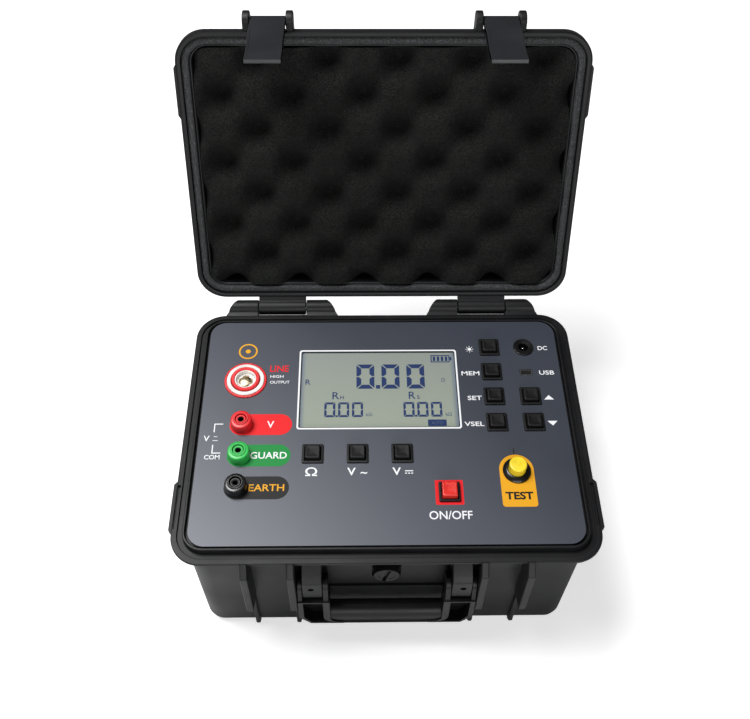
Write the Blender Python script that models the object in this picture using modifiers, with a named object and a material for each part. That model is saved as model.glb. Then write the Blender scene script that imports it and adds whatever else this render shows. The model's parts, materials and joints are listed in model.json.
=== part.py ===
"""Insulation resistance tester: a rugged hinged case with an instrument panel in its base.

Every length below is in millimetres and MM turns it into Blender's metres. The origin is the
centre of the underside, +Z is up and the latches and the handle are on the -Y side.
The lid's pieces are written in their closed place and swing open on an empty on the hinge axis.
"""

import math

import bmesh
import bpy
from mathutils import Matrix, Vector

MM = 0.001
GAP = 0.3  # clearance between neighbouring pieces

# Case, seen from above
CASE_HALF_X = 133.0
CASE_HALF_Y = 96.5
CASE_CORNER = 19.8
PANEL_TOP = 114.5
PANEL_THICK = 3.0
LEDGE_TOP = 110.8  # the flange that the lid's lip comes down on
GROOVE_FLOOR = 109.5
TONGUE_TOP = 114.6
FLANGE_UNDER = 108.0
FLOOR_THICK = 3.2
LID_RIM = LEDGE_TOP + GAP
LID_TOP = 153.0

# Joints
HINGE_Y = 104.4
HINGE_Z = 110.2
KNUCKLE_RADIUS = 5.5
KNUCKLE_SLANT = 0.7  # how far a free end leans along X for each millimetre in Y
LID_OPEN_DEG = 108.8
HINGE_SPANS = ((32.0, 55.2), (55.7, 89.8), (90.3, 113.7))  # base, lid and base knuckles along X
HINGE_PIN_SPAN = (37.6, 106.3)
LATCH_X = 73.0
LATCH_PIVOT = (-101.8, 117.5)
LATCH_HALF_WIDTH = 11.0
LATCH_LEAN_DEG = 16.0
EAR_THICK = 4.6
EAR_RADIUS = 6.3
HANDLE_PIVOT = (-95.0, 80.5)
HANDLE_HALF_X = 56.2
CHEEK_THICK = 3.4
BRACKET_SPAN = (40.5, 52.9)
VALVE_Z = 79.6
VALVE_SLOT_DEG = -14.0

# Pins and the holes that they turn in
HINGE_PIN_RADIUS = 1.6
LATCH_PIN_RADIUS = 1.3
HANDLE_PIN_RADIUS = 2.0

# Front ribs, which stand beside the latches
RIB_X = (58.9, 87.1)
RIB_THICK = 4.6
RIB_FRONT_Y = -104.0
RUNNER_THICK = 3.0  # thinner ribs that end in feet, level with the underside

# Panel layout, as (X, Y) of each control's centre
TERMINAL_X = -94.6
LINE_Y = 35.7
JACK_Y = {"volt": 0.2, "guard": -23.3, "earth": -46.8}
KEYS = {
    "backlight": (74.5, 63.0),
    "memory": (74.5, 42.0),
    "set": (74.5, 21.5),
    "voltage_select": (74.5, 0.8),
    "up": (99.1, 21.5),
    "down": (99.1, 0.8),
    "ohm": (-47.1, -22.6),
    "ac_voltage": (-18.1, -22.6),
    "dc_voltage": (10.8, -22.6),
}
POWER_XY = (39.7, -51.0)
TEST_XY = (83.7, -36.0)
DC_XY = (98.7, 62.9)
USB_XY = (98.5, 41.7)
WINDOW_CENTRE = (-3.7, 28.85)
WINDOW_HALF = (53.2, 31.05)

BOARD_THICK = 1.6

# Heights above the panel's face
KEY_BEZEL_TOP = 1.3
KEY_CAP_TOP = 4.0
JACK_TOP = 8.0
TEST_CAP_TOP = 9.5
FOAM_FACE = 118.8
FOAM_RELIEF = 125.2  # where the foam gives way to the tallest controls

CORNER_STEPS = 4
ROUND_STEPS = 18

COLLECTION = "Insulation_resistance_tester"
COLOURS = {
    "case_black": ((0.022, 0.023, 0.024), 0.45, 0.0),
    "latch_slate": ((0.030, 0.032, 0.036), 0.38, 0.0),
    "foam_charcoal": ((0.012, 0.013, 0.012), 0.95, 0.0),
    "seal_grey": ((0.045, 0.048, 0.050), 0.80, 0.0),
    "pin_steel": ((0.55, 0.56, 0.57), 0.30, 1.0),
    "panel_grey": ((0.095, 0.105, 0.125), 0.55, 0.0),
    "window_clear": ((0.55, 0.60, 0.58), 0.08, 0.0),
    "lcd_glass": ((0.36, 0.40, 0.33), 0.25, 0.0),
    "red_plastic": ((0.78, 0.03, 0.03), 0.35, 0.0),
    "white_plastic": ((0.80, 0.80, 0.78), 0.40, 0.0),
    "green_plastic": ((0.03, 0.42, 0.12), 0.35, 0.0),
    "black_plastic": ((0.015, 0.015, 0.016), 0.40, 0.0),
    "yellow_plastic": ((0.90, 0.62, 0.03), 0.35, 0.0),
    "brass": ((0.70, 0.52, 0.25), 0.30, 1.0),
    "board_green": ((0.02, 0.12, 0.05), 0.50, 0.0),
    "battery_wrap": ((0.03, 0.06, 0.22), 0.45, 0.0),
}


# ---------------------------------------------------------------- scene and materials


def clear_scene():
    for obj in list(bpy.data.objects):
        bpy.data.objects.remove(obj, do_unlink=True)


def new_collection(name):
    collection = bpy.data.collections.new(name)
    bpy.context.scene.collection.children.link(collection)
    return collection


def material(name):
    """The shared material of that name, made the first time it is asked for."""
    found = bpy.data.materials.get(name)
    if found:
        return found
    colour, roughness, metallic = COLOURS[name]
    made = bpy.data.materials.new(name)
    made.use_nodes = True
    shader = made.node_tree.nodes["Principled BSDF"]
    shader.inputs["Base Color"].default_value = (*colour, 1.0)
    shader.inputs["Roughness"].default_value = roughness
    shader.inputs["Metallic"].default_value = metallic
    made.diffuse_color = (*colour, 1.0)
    return made


def finish(obj, material_name):
    """Gives a finished piece its own copy of the material and smooth shading on its round faces."""
    own = material(material_name).copy()
    own.name = obj.name + "_" + material_name
    obj.data.materials.clear()
    obj.data.materials.append(own)
    obj.data.shade_smooth()
    obj.data.set_sharp_from_angle(angle=math.radians(35))
    return obj


# ---------------------------------------------------------------- shapes


def arc(centre_a, centre_b, radius, start_deg, end_deg, steps):
    """Points of an arc in a plane, both ends included."""
    points = []
    for i in range(steps + 1):
        angle = math.radians(start_deg + (end_deg - start_deg) * i / steps)
        points.append((centre_a + radius * math.cos(angle), centre_b + radius * math.sin(angle)))
    return points


def rounded_rectangle(half_x, half_y, radius, centre=(0.0, 0.0), steps=CORNER_STEPS):
    points = []
    for sign_x, sign_y, start in ((1, 1, 0), (-1, 1, 90), (-1, -1, 180), (1, -1, 270)):
        corner_x = centre[0] + sign_x * (half_x - radius)
        corner_y = centre[1] + sign_y * (half_y - radius)
        points += arc(corner_x, corner_y, radius, start, start + 90, steps)
    return points


def circle(radius, centre=(0.0, 0.0), steps=ROUND_STEPS):
    return arc(centre[0], centre[1], radius, 0, 360 - 360 / steps, steps - 1)


def new_object(name, mesh, location=(0.0, 0.0, 0.0)):
    obj = bpy.data.objects.new(name, mesh)
    obj.location = Vector(location) * MM
    pieces.objects.link(obj)
    return obj


def loft(name, sections, location=(0.0, 0.0, 0.0), closed=False, steps=CORNER_STEPS):
    """A body through rounded rectangles (z, half_x, half_y, corner), with caps or run round a ring."""
    shape = bmesh.new()
    rings = []
    for z, half_x, half_y, corner in sections:
        outline = rounded_rectangle(half_x, half_y, corner, steps=steps)
        rings.append([shape.verts.new((x * MM, y * MM, z * MM)) for x, y in outline])
    pairs = list(zip(rings, rings[1:]))
    if closed:
        pairs.append((rings[-1], rings[0]))
    else:
        shape.faces.new(rings[0])
        shape.faces.new(rings[-1])
    for low, high in pairs:
        for i in range(len(low)):
            j = (i + 1) % len(low)
            shape.faces.new((low[i], low[j], high[j], high[i]))
    bmesh.ops.recalc_face_normals(shape, faces=shape.faces)
    mesh = bpy.data.meshes.new(name)
    shape.to_mesh(mesh)
    shape.free()
    return new_object(name, mesh, location)


PLANES = {
    "XY": Matrix(((1, 0, 0), (0, 1, 0), (0, 0, 1))),
    "YZ": Matrix(((0, 0, 1), (1, 0, 0), (0, 1, 0))),
    "XZ": Matrix(((1, 0, 0), (0, 0, -1), (0, 1, 0))),
}


def prism(name, outline, low, high, plane="XY", holes=(), location=(0.0, 0.0, 0.0)):
    """A flat outline thickened from low to high along +Z (XY), +X (YZ) or -Y (XZ)."""
    curve = bpy.data.curves.new(name, "CURVE")
    curve.dimensions = "2D"
    curve.fill_mode = "BOTH"
    curve.extrude = (high - low) / 2 * MM
    for points in (outline, *holes):
        spline = curve.splines.new("POLY")
        spline.points.add(len(points) - 1)
        for point, (a, b) in zip(spline.points, points):
            point.co = (a * MM, b * MM, 0.0, 1.0)
        spline.use_cyclic_u = True
    guide = bpy.data.objects.new(name + "_outline", curve)
    pieces.objects.link(guide)
    mesh = bpy.data.meshes.new_from_object(guide.evaluated_get(bpy.context.evaluated_depsgraph_get()))
    bpy.data.objects.remove(guide, do_unlink=True)
    normal = PLANES[plane].to_4x4().col[2].to_3d()
    middle = (low + high) / 2 * MM * normal
    shape = bmesh.new()
    shape.from_mesh(mesh)
    bmesh.ops.remove_doubles(shape, verts=shape.verts, dist=0.00001)
    bmesh.ops.transform(shape, matrix=Matrix.Translation(middle) @ PLANES[plane].to_4x4(), verts=shape.verts)
    bmesh.ops.recalc_face_normals(shape, faces=shape.faces)
    shape.to_mesh(mesh)
    shape.free()
    mesh.name = name
    return new_object(name, mesh, location)


def box(name, x_span, y_span, z_span, location=(0.0, 0.0, 0.0)):
    spans = (x_span, y_span, z_span)
    size = Vector([(high - low) * MM for low, high in spans])
    middle = Vector([(high + low) / 2 * MM for low, high in spans])
    shape = bmesh.new()
    bmesh.ops.create_cube(shape, size=1.0, matrix=Matrix.Translation(middle) @ Matrix.Diagonal((*size, 1.0)))
    mesh = bpy.data.meshes.new(name)
    shape.to_mesh(mesh)
    shape.free()
    return new_object(name, mesh, location)


def rod(name, radius, x_span, y, z, steps=ROUND_STEPS, along="X"):
    """A round bar along X, or along Y with x_span then read as its Y span and y as its X place."""
    length = (x_span[1] - x_span[0]) * MM
    middle = (x_span[0] + x_span[1]) / 2
    place = (middle, y, z) if along == "X" else (y, middle, z)
    turn = Matrix.Rotation(math.radians(90), 4, "Y" if along == "X" else "X")
    shape = bmesh.new()
    bmesh.ops.create_cone(
        shape,
        cap_ends=True,
        segments=steps,
        radius1=radius * MM,
        radius2=radius * MM,
        depth=length,
        matrix=turn,
    )
    mesh = bpy.data.meshes.new(name)
    shape.to_mesh(mesh)
    shape.free()
    return new_object(name, mesh, place)


def turned(name, profile, location, steps=ROUND_STEPS, closed=False):
    """A turned piece: the profile (radius, z) runs from the top down its outer side."""
    mesh = bpy.data.meshes.new(name)
    edges = [(i, i + 1) for i in range(len(profile) - 1)]
    if closed:
        edges.append((len(profile) - 1, 0))
    mesh.from_pydata([(radius * MM, 0.0, z * MM) for radius, z in profile], edges, [])
    obj = new_object(name, mesh, location)
    screw = obj.modifiers.new("Turn", "SCREW")
    screw.steps = steps
    screw.render_steps = steps
    screw.use_merge_vertices = True
    screw.merge_threshold = 0.00001
    return obj


# ---------------------------------------------------------------- joining and placing


def keep_in_place(child, parent):
    """Parents child to parent so that it stays where it was drawn, then follows parent's motion."""
    child.parent = parent
    child.matrix_parent_inverse = Matrix.Translation(-parent.location)


def merge(name, parts):
    """One object with the meshes of several, which stand clear of each other."""
    shape = bmesh.new()
    for part in parts:
        start = len(shape.verts)
        shape.from_mesh(part.data)
        shape.verts.ensure_lookup_table()
        bmesh.ops.translate(shape, vec=part.location, verts=shape.verts[start:])
        bpy.data.objects.remove(part, do_unlink=True)
    mesh = bpy.data.meshes.new(name)
    shape.to_mesh(mesh)
    shape.free()
    return new_object(name, mesh)


def use_tool(target, tool, operation):
    modifier = target.modifiers.new(tool.name, "BOOLEAN")
    modifier.operation = operation
    modifier.object = tool
    modifier.solver = "EXACT"
    pieces.objects.unlink(tool)
    cutters.objects.link(tool)
    tool.hide_render = True
    tool.display_type = "WIRE"
    keep_in_place(tool, target)


def add(target, tool):
    use_tool(target, tool, "UNION")


def cut(target, tool):
    use_tool(target, tool, "DIFFERENCE")


def axis_empty(name, location, parent=None):
    empty = bpy.data.objects.new(name, None)
    empty.location = Vector(location) * MM
    empty.empty_display_size = 0.01
    pieces.objects.link(empty)
    if parent:
        keep_in_place(empty, parent)
    return empty


def slant_end(obj, end_x, slope):
    """Leans the end face of a bar along X: a corner further out in Y moves further along X."""
    for vertex in obj.data.vertices:
        if abs(vertex.co.x - end_x * MM) < 0.1 * MM:
            vertex.co.x += slope * (vertex.co.y - CASE_HALF_Y * MM)


def both_sides(span):
    """A span on the right of the case, then its mirror image on the left."""
    return ((1, span), (-1, (-span[1], -span[0])))


# ---------------------------------------------------------------- case base


def base_body():
    """The moulded tub: outside wall up to the flange, over the rim and down the inside."""
    edge_x = CASE_HALF_X
    edge_y = CASE_HALF_Y
    seat = PANEL_TOP - PANEL_THICK - GAP
    return loft(
        "base_shell",
        (
            (0.0, 116.0, 80.5, 7.0),
            (0.9, 119.4, 84.2, 9.5),
            (3.4, 121.9, 86.6, 11.5),
            (7.0, 122.8, 87.5, 12.5),
            (104.5, 125.2, 88.6, 14.0),
            (106.8, 126.4, 90.0, 15.0),
            (FLANGE_UNDER, 129.0, 92.5, 16.5),
            (FLANGE_UNDER + 0.4, edge_x - 1.0, edge_y - 1.0, 19.0),
            (FLANGE_UNDER + 1.2, edge_x, edge_y, CASE_CORNER),
            (LEDGE_TOP - 0.4, edge_x, edge_y, CASE_CORNER),
            (LEDGE_TOP, edge_x - 0.5, edge_y - 0.5, 19.4),
            (LEDGE_TOP, edge_x - 3.9, edge_y - 3.9, 16.6),
            (GROOVE_FLOOR, edge_x - 4.0, edge_y - 4.0, 16.5),
            (GROOVE_FLOOR, edge_x - 7.2, edge_y - 7.2, 13.6),
            (TONGUE_TOP - 0.4, edge_x - 7.5, edge_y - 7.5, 13.3),
            (TONGUE_TOP, edge_x - 7.8, edge_y - 7.8, 13.0),
            (TONGUE_TOP, edge_x - 8.9, edge_y - 8.9, 12.0),
            (TONGUE_TOP - 0.4, edge_x - 9.2, edge_y - 9.2, 11.7),
            (seat, edge_x - 9.3, edge_y - 9.3, 11.6),
            (seat, 120.4, 83.6, 8.5),
            (104.0, 121.2, 84.9, 9.0),
            (FLOOR_THICK + 3.3, 119.6, 83.9, 9.0),
            (FLOOR_THICK, 117.0, 81.3, 7.0),
        ),
    )


def front_ribs():
    """Four ribs beside the latches: out from the flange, down the front, back in to the wall."""
    start_y = -CASE_HALF_Y - GAP
    slope = 7.2
    profile = [(-90.0, 109.0), (-96.2, 110.2), (start_y, 112.0), (start_y - slope, 112.0 - slope)]
    profile += arc(RIB_FRONT_Y + 4.0, 58.5, 4.0, 180, 270, 4)
    profile += [(-86.6, 49.5), (-86.6, 106.0)]
    half = RIB_THICK / 2
    ribs = []
    for sign in (1, -1):
        for x in RIB_X:
            middle = sign * x
            ribs.append(prism("rib", profile, middle - half, middle + half, "YZ"))
    return merge("front_ribs", ribs)


def wall_runners():
    """Narrow ribs down the front and back walls, each with a foot at the bottom corner."""
    foot = [(90.6, 4.0), (88.0, 0.0), (80.8, 0.0), (82.0, 1.6), (85.6, 5.5)]
    back = [(86.2, 107.0), (91.6, 107.0)] + foot
    front = [(-y, z) for y, z in [(86.0, 54.0), (91.0, 54.0)] + foot]
    half = RUNNER_THICK / 2
    runners = []
    for sign in (1, -1):
        for x in RIB_X:
            low, high = sign * x - half, sign * x + half
            runners.append(prism("front_runner", front, low, high, "YZ"))
            runners.append(prism("back_runner", back, low, high, "YZ"))
    return merge("wall_runners", runners)


def hinge_arm_outline(for_lid):
    """Side view of a hinge knuckle and the arm that ties it to the base's or the lid's flange."""
    if for_lid:
        around = arc(HINGE_Y, HINGE_Z, KNUCKLE_RADIUS, 100, -175, 14)
        return [(94.6, 112.4), (94.6, 118.6)] + around
    around = arc(HINGE_Y, HINGE_Z, KNUCKLE_RADIUS, 165, -60, 12)
    return [(87.9, 101.2), (87.9, 108.6), (94.6, 109.6)] + around + [(102.5, 101.2)]


def base_hinge_arms():
    outline = hinge_arm_outline(for_lid=False)
    arms = []
    for sign in (1, -1):
        for (near, far), end in ((HINGE_SPANS[0], 0), (HINGE_SPANS[2], 1)):
            low, high = sorted((sign * near, sign * far))
            arm = prism("hinge_arm", outline, low, high, "YZ")
            outer_end = sign * (near, far)[end]
            slant_end(arm, outer_end, -KNUCKLE_SLANT * sign * (1 if end else -1))
            arms.append(arm)
    return merge("base_hinge_arms", arms)


def hinge_webs():
    """Webs under the lid's knuckles, from the wall out to the hinge, each tying two base knuckles."""
    span = (HINGE_SPANS[0][1] - 1.0, HINGE_SPANS[2][0] + 1.0)
    high_z = HINGE_Z - KNUCKLE_RADIUS - 0.5
    webs = [box("web", x_span, (87.9, 102.3), (101.5, high_z)) for _, x_span in both_sides(span)]
    return merge("hinge_webs", webs)


def handle_brackets():
    """Blocks that carry the handle, rounded below so that it can swing past them."""
    outline = [(-86.8, 70.2)] + arc(*HANDLE_PIVOT, 10.3, 270, 231, 5)
    outline += [(-101.5, 91.0), (-98.0, 95.5), (-86.8, 104.0)]
    blocks = [prism("bracket", outline, *span, "YZ") for _, span in both_sides(BRACKET_SPAN)]
    return merge("handle_brackets", blocks)


def strap_lug(name, sign, proud, z_low, z_high):
    """A low lug that stands proud of the side of the flange, with sloped ends."""
    inner = CASE_HALF_X - 3.0
    outer = CASE_HALF_X + proud
    outline = [(inner, -75.0), (CASE_HALF_X - 0.2, -75.0), (outer, -71.5), (outer, -43.5)]
    outline += [(CASE_HALF_X - 0.2, -40.0), (inner, -40.0)]
    outline = [(sign * x, y) for x, y in outline]
    return prism(name, outline, z_low, z_high)


def make_base():
    base = base_body()
    add(base, front_ribs())
    add(base, wall_runners())
    add(base, base_hinge_arms())
    add(base, handle_brackets())
    add(base, hinge_webs())
    lugs = [strap_lug("lug", sign, 1.9, 106.5, LEDGE_TOP - 0.3) for sign in (1, -1)]
    add(base, merge("base_strap_lugs", lugs))
    add(base, box("valve_boss", (-22.0, 22.0), (-85.4, -79.0), (64.0, 96.0)))
    cut(base, prism("front_recess", rounded_rectangle(40.2, 24.0, 3.0, (0.0, 83.0)), 86.4, 95.0, "XZ"))
    cut(base, prism("valve_pocket", rounded_rectangle(9.2, 9.2, 2.0, (0.0, VALVE_Z)), 83.6, 92.0, "XZ"))
    cut(base, rod("valve_hole", 5.6, (-90.0, -70.0), 0.0, VALVE_Z, along="Y"))
    for sign, span in both_sides((HINGE_SPANS[0][0] - 4.0, HINGE_PIN_SPAN[1] + 0.4)):
        cut(base, rod(f"hinge_bore_{sign}", HINGE_PIN_RADIUS + GAP, span, HINGE_Y, HINGE_Z))
    for sign, span in both_sides((BRACKET_SPAN[0] - 3.0, BRACKET_SPAN[1] + 3.0)):
        cut(base, rod(f"handle_bore_{sign}", HANDLE_PIN_RADIUS + GAP, span, *HANDLE_PIVOT))
        cut(base, rod(f"bracket_hole_{sign}", 1.7, (-103.0, -98.6), sign * 47.4, 84.0, along="Y"))
    slots = [
        prism("slot", rounded_rectangle(1.2, 15.3, 0.9, (sign * 131.4, -57.7)), FLANGE_UNDER + 0.5, 120.0)
        for sign in (1, -1)
    ]
    cut(base, merge("strap_slots", slots))
    return finish(base, "case_black")


# ---------------------------------------------------------------- lid


def lid_body():
    edge_x = CASE_HALF_X
    edge_y = CASE_HALF_Y
    groove_top = LID_RIM + 5.9
    ridge = TONGUE_TOP + 0.4
    return loft(
        "lid_shell",
        (
            (LID_TOP, 118.5, 82.0, 9.0),
            (LID_TOP - 0.7, 121.3, 84.8, 11.0),
            (LID_TOP - 2.7, 123.3, 86.8, 12.5),
            (LID_TOP - 6.5, 124.5, 88.0, 13.5),
            (121.0, 126.5, 90.0, 14.5),
            (119.8, 128.0, 91.5, 15.5),
            (119.4, edge_x - 1.4, edge_y - 1.4, 18.6),
            (118.4, edge_x, edge_y, CASE_CORNER),
            (LID_RIM + 1.0, edge_x, edge_y, CASE_CORNER),
            (LID_RIM, edge_x - 1.0, edge_y - 1.0, 19.0),
            (LID_RIM, edge_x - 3.5, edge_y - 3.5, 17.0),
            (groove_top, edge_x - 3.6, edge_y - 3.6, 16.8),
            (groove_top, edge_x - 8.6, edge_y - 8.6, 12.3),
            (ridge + 0.3, edge_x - 8.7, edge_y - 8.7, 12.2),
            (ridge, edge_x - 8.9, edge_y - 8.9, 12.0),
            (ridge, edge_x - 10.0, edge_y - 10.0, 11.0),
            (ridge + 0.5, edge_x - 10.4, edge_y - 10.4, 10.6),
            (LID_TOP - 3.3, 121.2, 84.7, 9.5),
        ),
    )


def latch_ears():
    """Pairs of ears on the lid's front, each rounded about the latch's pivot."""
    outline = [(-94.5, 112.9)]
    outline += arc(*LATCH_PIVOT, EAR_RADIUS, 270, 90, 10)
    outline += [(-93.0, 127.0), (-88.5, 127.0), (-88.5, 118.2), (-94.5, 118.2)]
    ears = []
    for sign in (1, -1):
        for side in (1, -1):
            near = sign * LATCH_X + side * (LATCH_HALF_WIDTH + GAP)
            far = near + side * EAR_THICK
            ears.append(prism("ear", outline, *sorted((near, far)), "YZ"))
    return merge("latch_ears", ears)


def lid_hinge_arms():
    outline = hinge_arm_outline(for_lid=True)
    arms = [prism("lid_arm", outline, *span, "YZ") for _, span in both_sides(HINGE_SPANS[1])]
    return merge("lid_hinge_arms", arms)


def make_lid():
    lid = lid_body()
    add(lid, latch_ears())
    add(lid, lid_hinge_arms())
    lugs = [strap_lug("lug", sign, 1.3, LID_RIM + 0.4, 118.0) for sign in (1, -1)]
    add(lid, merge("lid_strap_lugs", lugs))
    for sign, span in both_sides((HINGE_SPANS[1][0] - 4.0, HINGE_SPANS[1][1] + 4.0)):
        cut(lid, rod(f"lid_hinge_bore_{sign}", HINGE_PIN_RADIUS + GAP, span, HINGE_Y, HINGE_Z))
    ear_span = (LATCH_X - LATCH_HALF_WIDTH - 8.0, LATCH_X + LATCH_HALF_WIDTH + 8.0)
    for sign, span in both_sides(ear_span):
        cut(lid, rod(f"ear_bore_{sign}", LATCH_PIN_RADIUS + GAP, span, *LATCH_PIVOT))
    cut(lid, loft("top_recess", ((LID_TOP - 0.8, 96.0, 60.0, 8.0), (LID_TOP + 4.0, 96.8, 60.8, 8.8))))
    keep_in_place(lid, lid_axis)
    return finish(lid, "case_black")


def make_seal():
    outer = CASE_HALF_X - 3.9
    inner = outer - 4.4
    low = TONGUE_TOP + GAP
    high = LID_RIM + 5.6
    drop = CASE_HALF_X - CASE_HALF_Y
    sections = (
        (low, outer, outer - drop, 16.5),
        (high, outer, outer - drop, 16.5),
        (high, inner, inner - drop, 12.6),
        (low, inner, inner - drop, 12.6),
    )
    seal = loft("lid_seal", sections, closed=True)
    keep_in_place(seal, lid_axis)
    return finish(seal, "seal_grey")


def make_foam():
    """A plain pad in the lid, with hollows where the tall controls press into it."""
    foam = loft(
        "lid_foam",
        (
            (FOAM_FACE, 121.8, 85.3, 10.2),
            (LID_TOP - 3.6, 120.8, 84.3, 9.2),
        ),
    )
    posts = prism(
        "posts_relief",
        rounded_rectangle(9.0, 33.0, 8.0, (TERMINAL_X, JACK_Y["guard"])),
        FOAM_FACE - 2.0,
        FOAM_RELIEF,
    )
    test = prism("test_relief", circle(9.0, TEST_XY), FOAM_FACE - 2.0, FOAM_RELIEF)
    power = prism("power_relief", rounded_rectangle(7.5, 8.0, 2.0, POWER_XY), FOAM_FACE - 2.0, FOAM_RELIEF)
    cut(foam, merge("foam_relief", [posts, test, power]))
    keep_in_place(foam, lid_axis)
    return finish(foam, "foam_charcoal")


# ---------------------------------------------------------------- pins, latches, handle, valve


def make_pins():
    """Hinge pins fixed in the base, latch pins fixed in the lid's ears, handle pins in the brackets."""
    for side, sign in (("left", -1), ("right", 1)):
        low, high = sorted((sign * HINGE_PIN_SPAN[0], sign * HINGE_PIN_SPAN[1]))
        finish(rod(f"hinge_pin_{side}", HINGE_PIN_RADIUS, (low, high), HINGE_Y, HINGE_Z), "pin_steel")
        reach = LATCH_HALF_WIDTH + GAP + EAR_THICK - 0.3
        span = (sign * LATCH_X - reach, sign * LATCH_X + reach)
        latch_pin = rod(f"latch_pin_{side}", LATCH_PIN_RADIUS, span, *LATCH_PIVOT, steps=16)
        keep_in_place(latch_pin, lid_axis)
        finish(latch_pin, "pin_steel")
        low, high = sorted((sign * (BRACKET_SPAN[0] - 3.4), sign * (HANDLE_HALF_X - 0.4)))
        handle_pin = rod(f"handle_pin_{side}", HANDLE_PIN_RADIUS, (low, high), *HANDLE_PIVOT, steps=16)
        finish(handle_pin, "pin_steel")


def latch_outline():
    """Side view (-t, -s): s runs down from the pivot and t outward. Three flats, a hook and a tip."""
    barrel = arc(0.0, 0.0, 3.0, -60, 175, 10)
    outside = [(-4.2, -19.0), (-3.6, -38.5), (-5.6, -51.5)]
    inside = [(-3.2, -52.3), (-0.8, -39.0), (-0.9, -15.5)]
    hook = [(1.9, -15.6), (3.6, -13.4), (4.2, -11.5), (1.8, -10.8)]
    return barrel + outside + inside + hook


def make_latch(side, sign):
    """A draw latch: a stiff channel with a hook that reaches under the base's flange."""
    name = f"latch_{side}"
    half = LATCH_HALF_WIDTH
    latch = prism(name, latch_outline(), -half, half, "YZ")
    cheek = [(-3.8, -12.0), (-3.4, -38.5), (-4.8, -49.5)]
    cheek += [(-2.6, -49.5), (0.8, -38.5), (2.4, -20.0), (2.4, -12.0)]
    cheeks = [prism("cheek", cheek, *span, "YZ") for _, span in both_sides((half - 2.0, half - 0.05))]
    add(latch, merge(name + "_cheeks", cheeks))
    cut(latch, rod(name + "_bore", LATCH_PIN_RADIUS + GAP, (-half - 2, half + 2), 0.0, 0.0, steps=16))
    latch.location = Vector((sign * LATCH_X, *LATCH_PIVOT)) * MM
    latch.rotation_euler.x = math.radians(LATCH_LEAN_DEG)
    keep_in_place(latch, lid_axis)
    return finish(latch, "latch_slate")


def handle_outline():
    """Front view of the handle's U: arms, chamfered lower corners and a straight grip."""
    half = HANDLE_HALF_X
    inner = half - 20.1
    right = [(half, 69.8), (inner, 69.8), (inner, 54.5)]
    inner_corner = arc(inner - 4.0, 54.5, 4.0, 0, -90, 4)[1:]
    left = [(-x, z) for x, z in reversed(right + inner_corner)]
    bottom = [(-half, 46.0), (-half + 7.3, 36.5), (half - 7.3, 36.5), (half, 46.0)]
    return right + inner_corner + left + bottom


def cheek_outline():
    y, z = HANDLE_PIVOT
    return [(-104.0, 66.0)] + arc(y, z, 6.3, 190, -15, 12) + [(-92.4, 68.0), (-92.4, 60.0), (-104.0, 60.0)]


def make_handle():
    """The U hangs from an empty on its pivot: a flat front, and cheeks either side of each bracket."""
    handle = prism("handle", handle_outline(), 92.0, 104.0, "XZ")
    cheeks = []
    inner_cheek = (BRACKET_SPAN[0] - GAP - CHEEK_THICK, BRACKET_SPAN[0] - GAP)
    outer_cheek = (BRACKET_SPAN[1] + GAP, HANDLE_HALF_X)
    for spans in (inner_cheek, outer_cheek):
        cheeks += [prism("cheek", cheek_outline(), *span, "YZ") for _, span in both_sides(spans)]
    add(handle, merge("handle_cheeks", cheeks))
    recess_middle = (BRACKET_SPAN[0] + BRACKET_SPAN[1]) / 2
    recesses = [
        prism("recess", rounded_rectangle(5.9, 9.5, 1.5, (sign * recess_middle, 57.5)), 102.4, 107.0, "XZ")
        for sign in (1, -1)
    ]
    cut(handle, merge("arm_recesses", recesses))
    for sign, span in both_sides((BRACKET_SPAN[0] - 6.0, HANDLE_HALF_X + 3.0)):
        cut(handle, rod(f"cheek_bore_{sign}", HANDLE_PIN_RADIUS + GAP, span, *HANDLE_PIVOT, steps=16))
    pivot = axis_empty("handle_axis", (0.0, *HANDLE_PIVOT))
    keep_in_place(handle, pivot)
    return finish(handle, "case_black")


def make_valve():
    """A relief valve through the front wall: a flanged barrel and a coin-slotted knob on it."""
    face_out = math.radians(90)
    place = (0.0, 0.0, VALVE_Z)
    body_profile = ((3.4, 85.9), (8.8, 85.9), (8.8, 84.2), (5.2, 84.2), (5.2, 77.0), (3.4, 77.0))
    body = turned("valve_body", body_profile, place, closed=True)
    body.rotation_euler.x = face_out
    finish(body, "black_plastic")
    knob_profile = ((0.0, 90.8), (7.6, 90.8), (8.4, 90.0), (8.4, 86.2), (3.0, 86.2), (3.0, 78.0), (0.0, 78.0))
    knob = turned("valve_knob", knob_profile, place)
    slot = box("coin_slot", (-7.4, 7.4), (-1.2, 1.2), (88.8, 93.0), place)
    slot.rotation_euler.z = math.radians(90 + VALVE_SLOT_DEG)
    cut(knob, slot)
    knob.rotation_euler.x = face_out
    return finish(knob, "black_plastic")


# ---------------------------------------------------------------- panel and controls


def panel_holes():
    holes = [rounded_rectangle(WINDOW_HALF[0], WINDOW_HALF[1], 1.5, WINDOW_CENTRE, 3)]
    holes += [rounded_rectangle(6.3, 6.3, 0.8, place, 1) for place in KEYS.values()]
    holes.append(rounded_rectangle(6.1, 6.1, 0.8, POWER_XY, 1))
    holes.append(circle(7.9, TEST_XY))
    holes.append(circle(11.8, (TERMINAL_X, LINE_Y), 24))
    holes += [circle(5.8, (TERMINAL_X, y)) for y in JACK_Y.values()]
    holes.append(circle(5.8, DC_XY))
    holes.append(rounded_rectangle(4.4, 2.6, 0.8, USB_XY, 2))
    return holes


def make_panel():
    outline = rounded_rectangle(CASE_HALF_X - 10.9, CASE_HALF_Y - 10.1, 10.9)
    panel = prism("panel_plate", outline, PANEL_TOP - PANEL_THICK, PANEL_TOP, holes=panel_holes())
    return finish(panel, "panel_grey")


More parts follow.
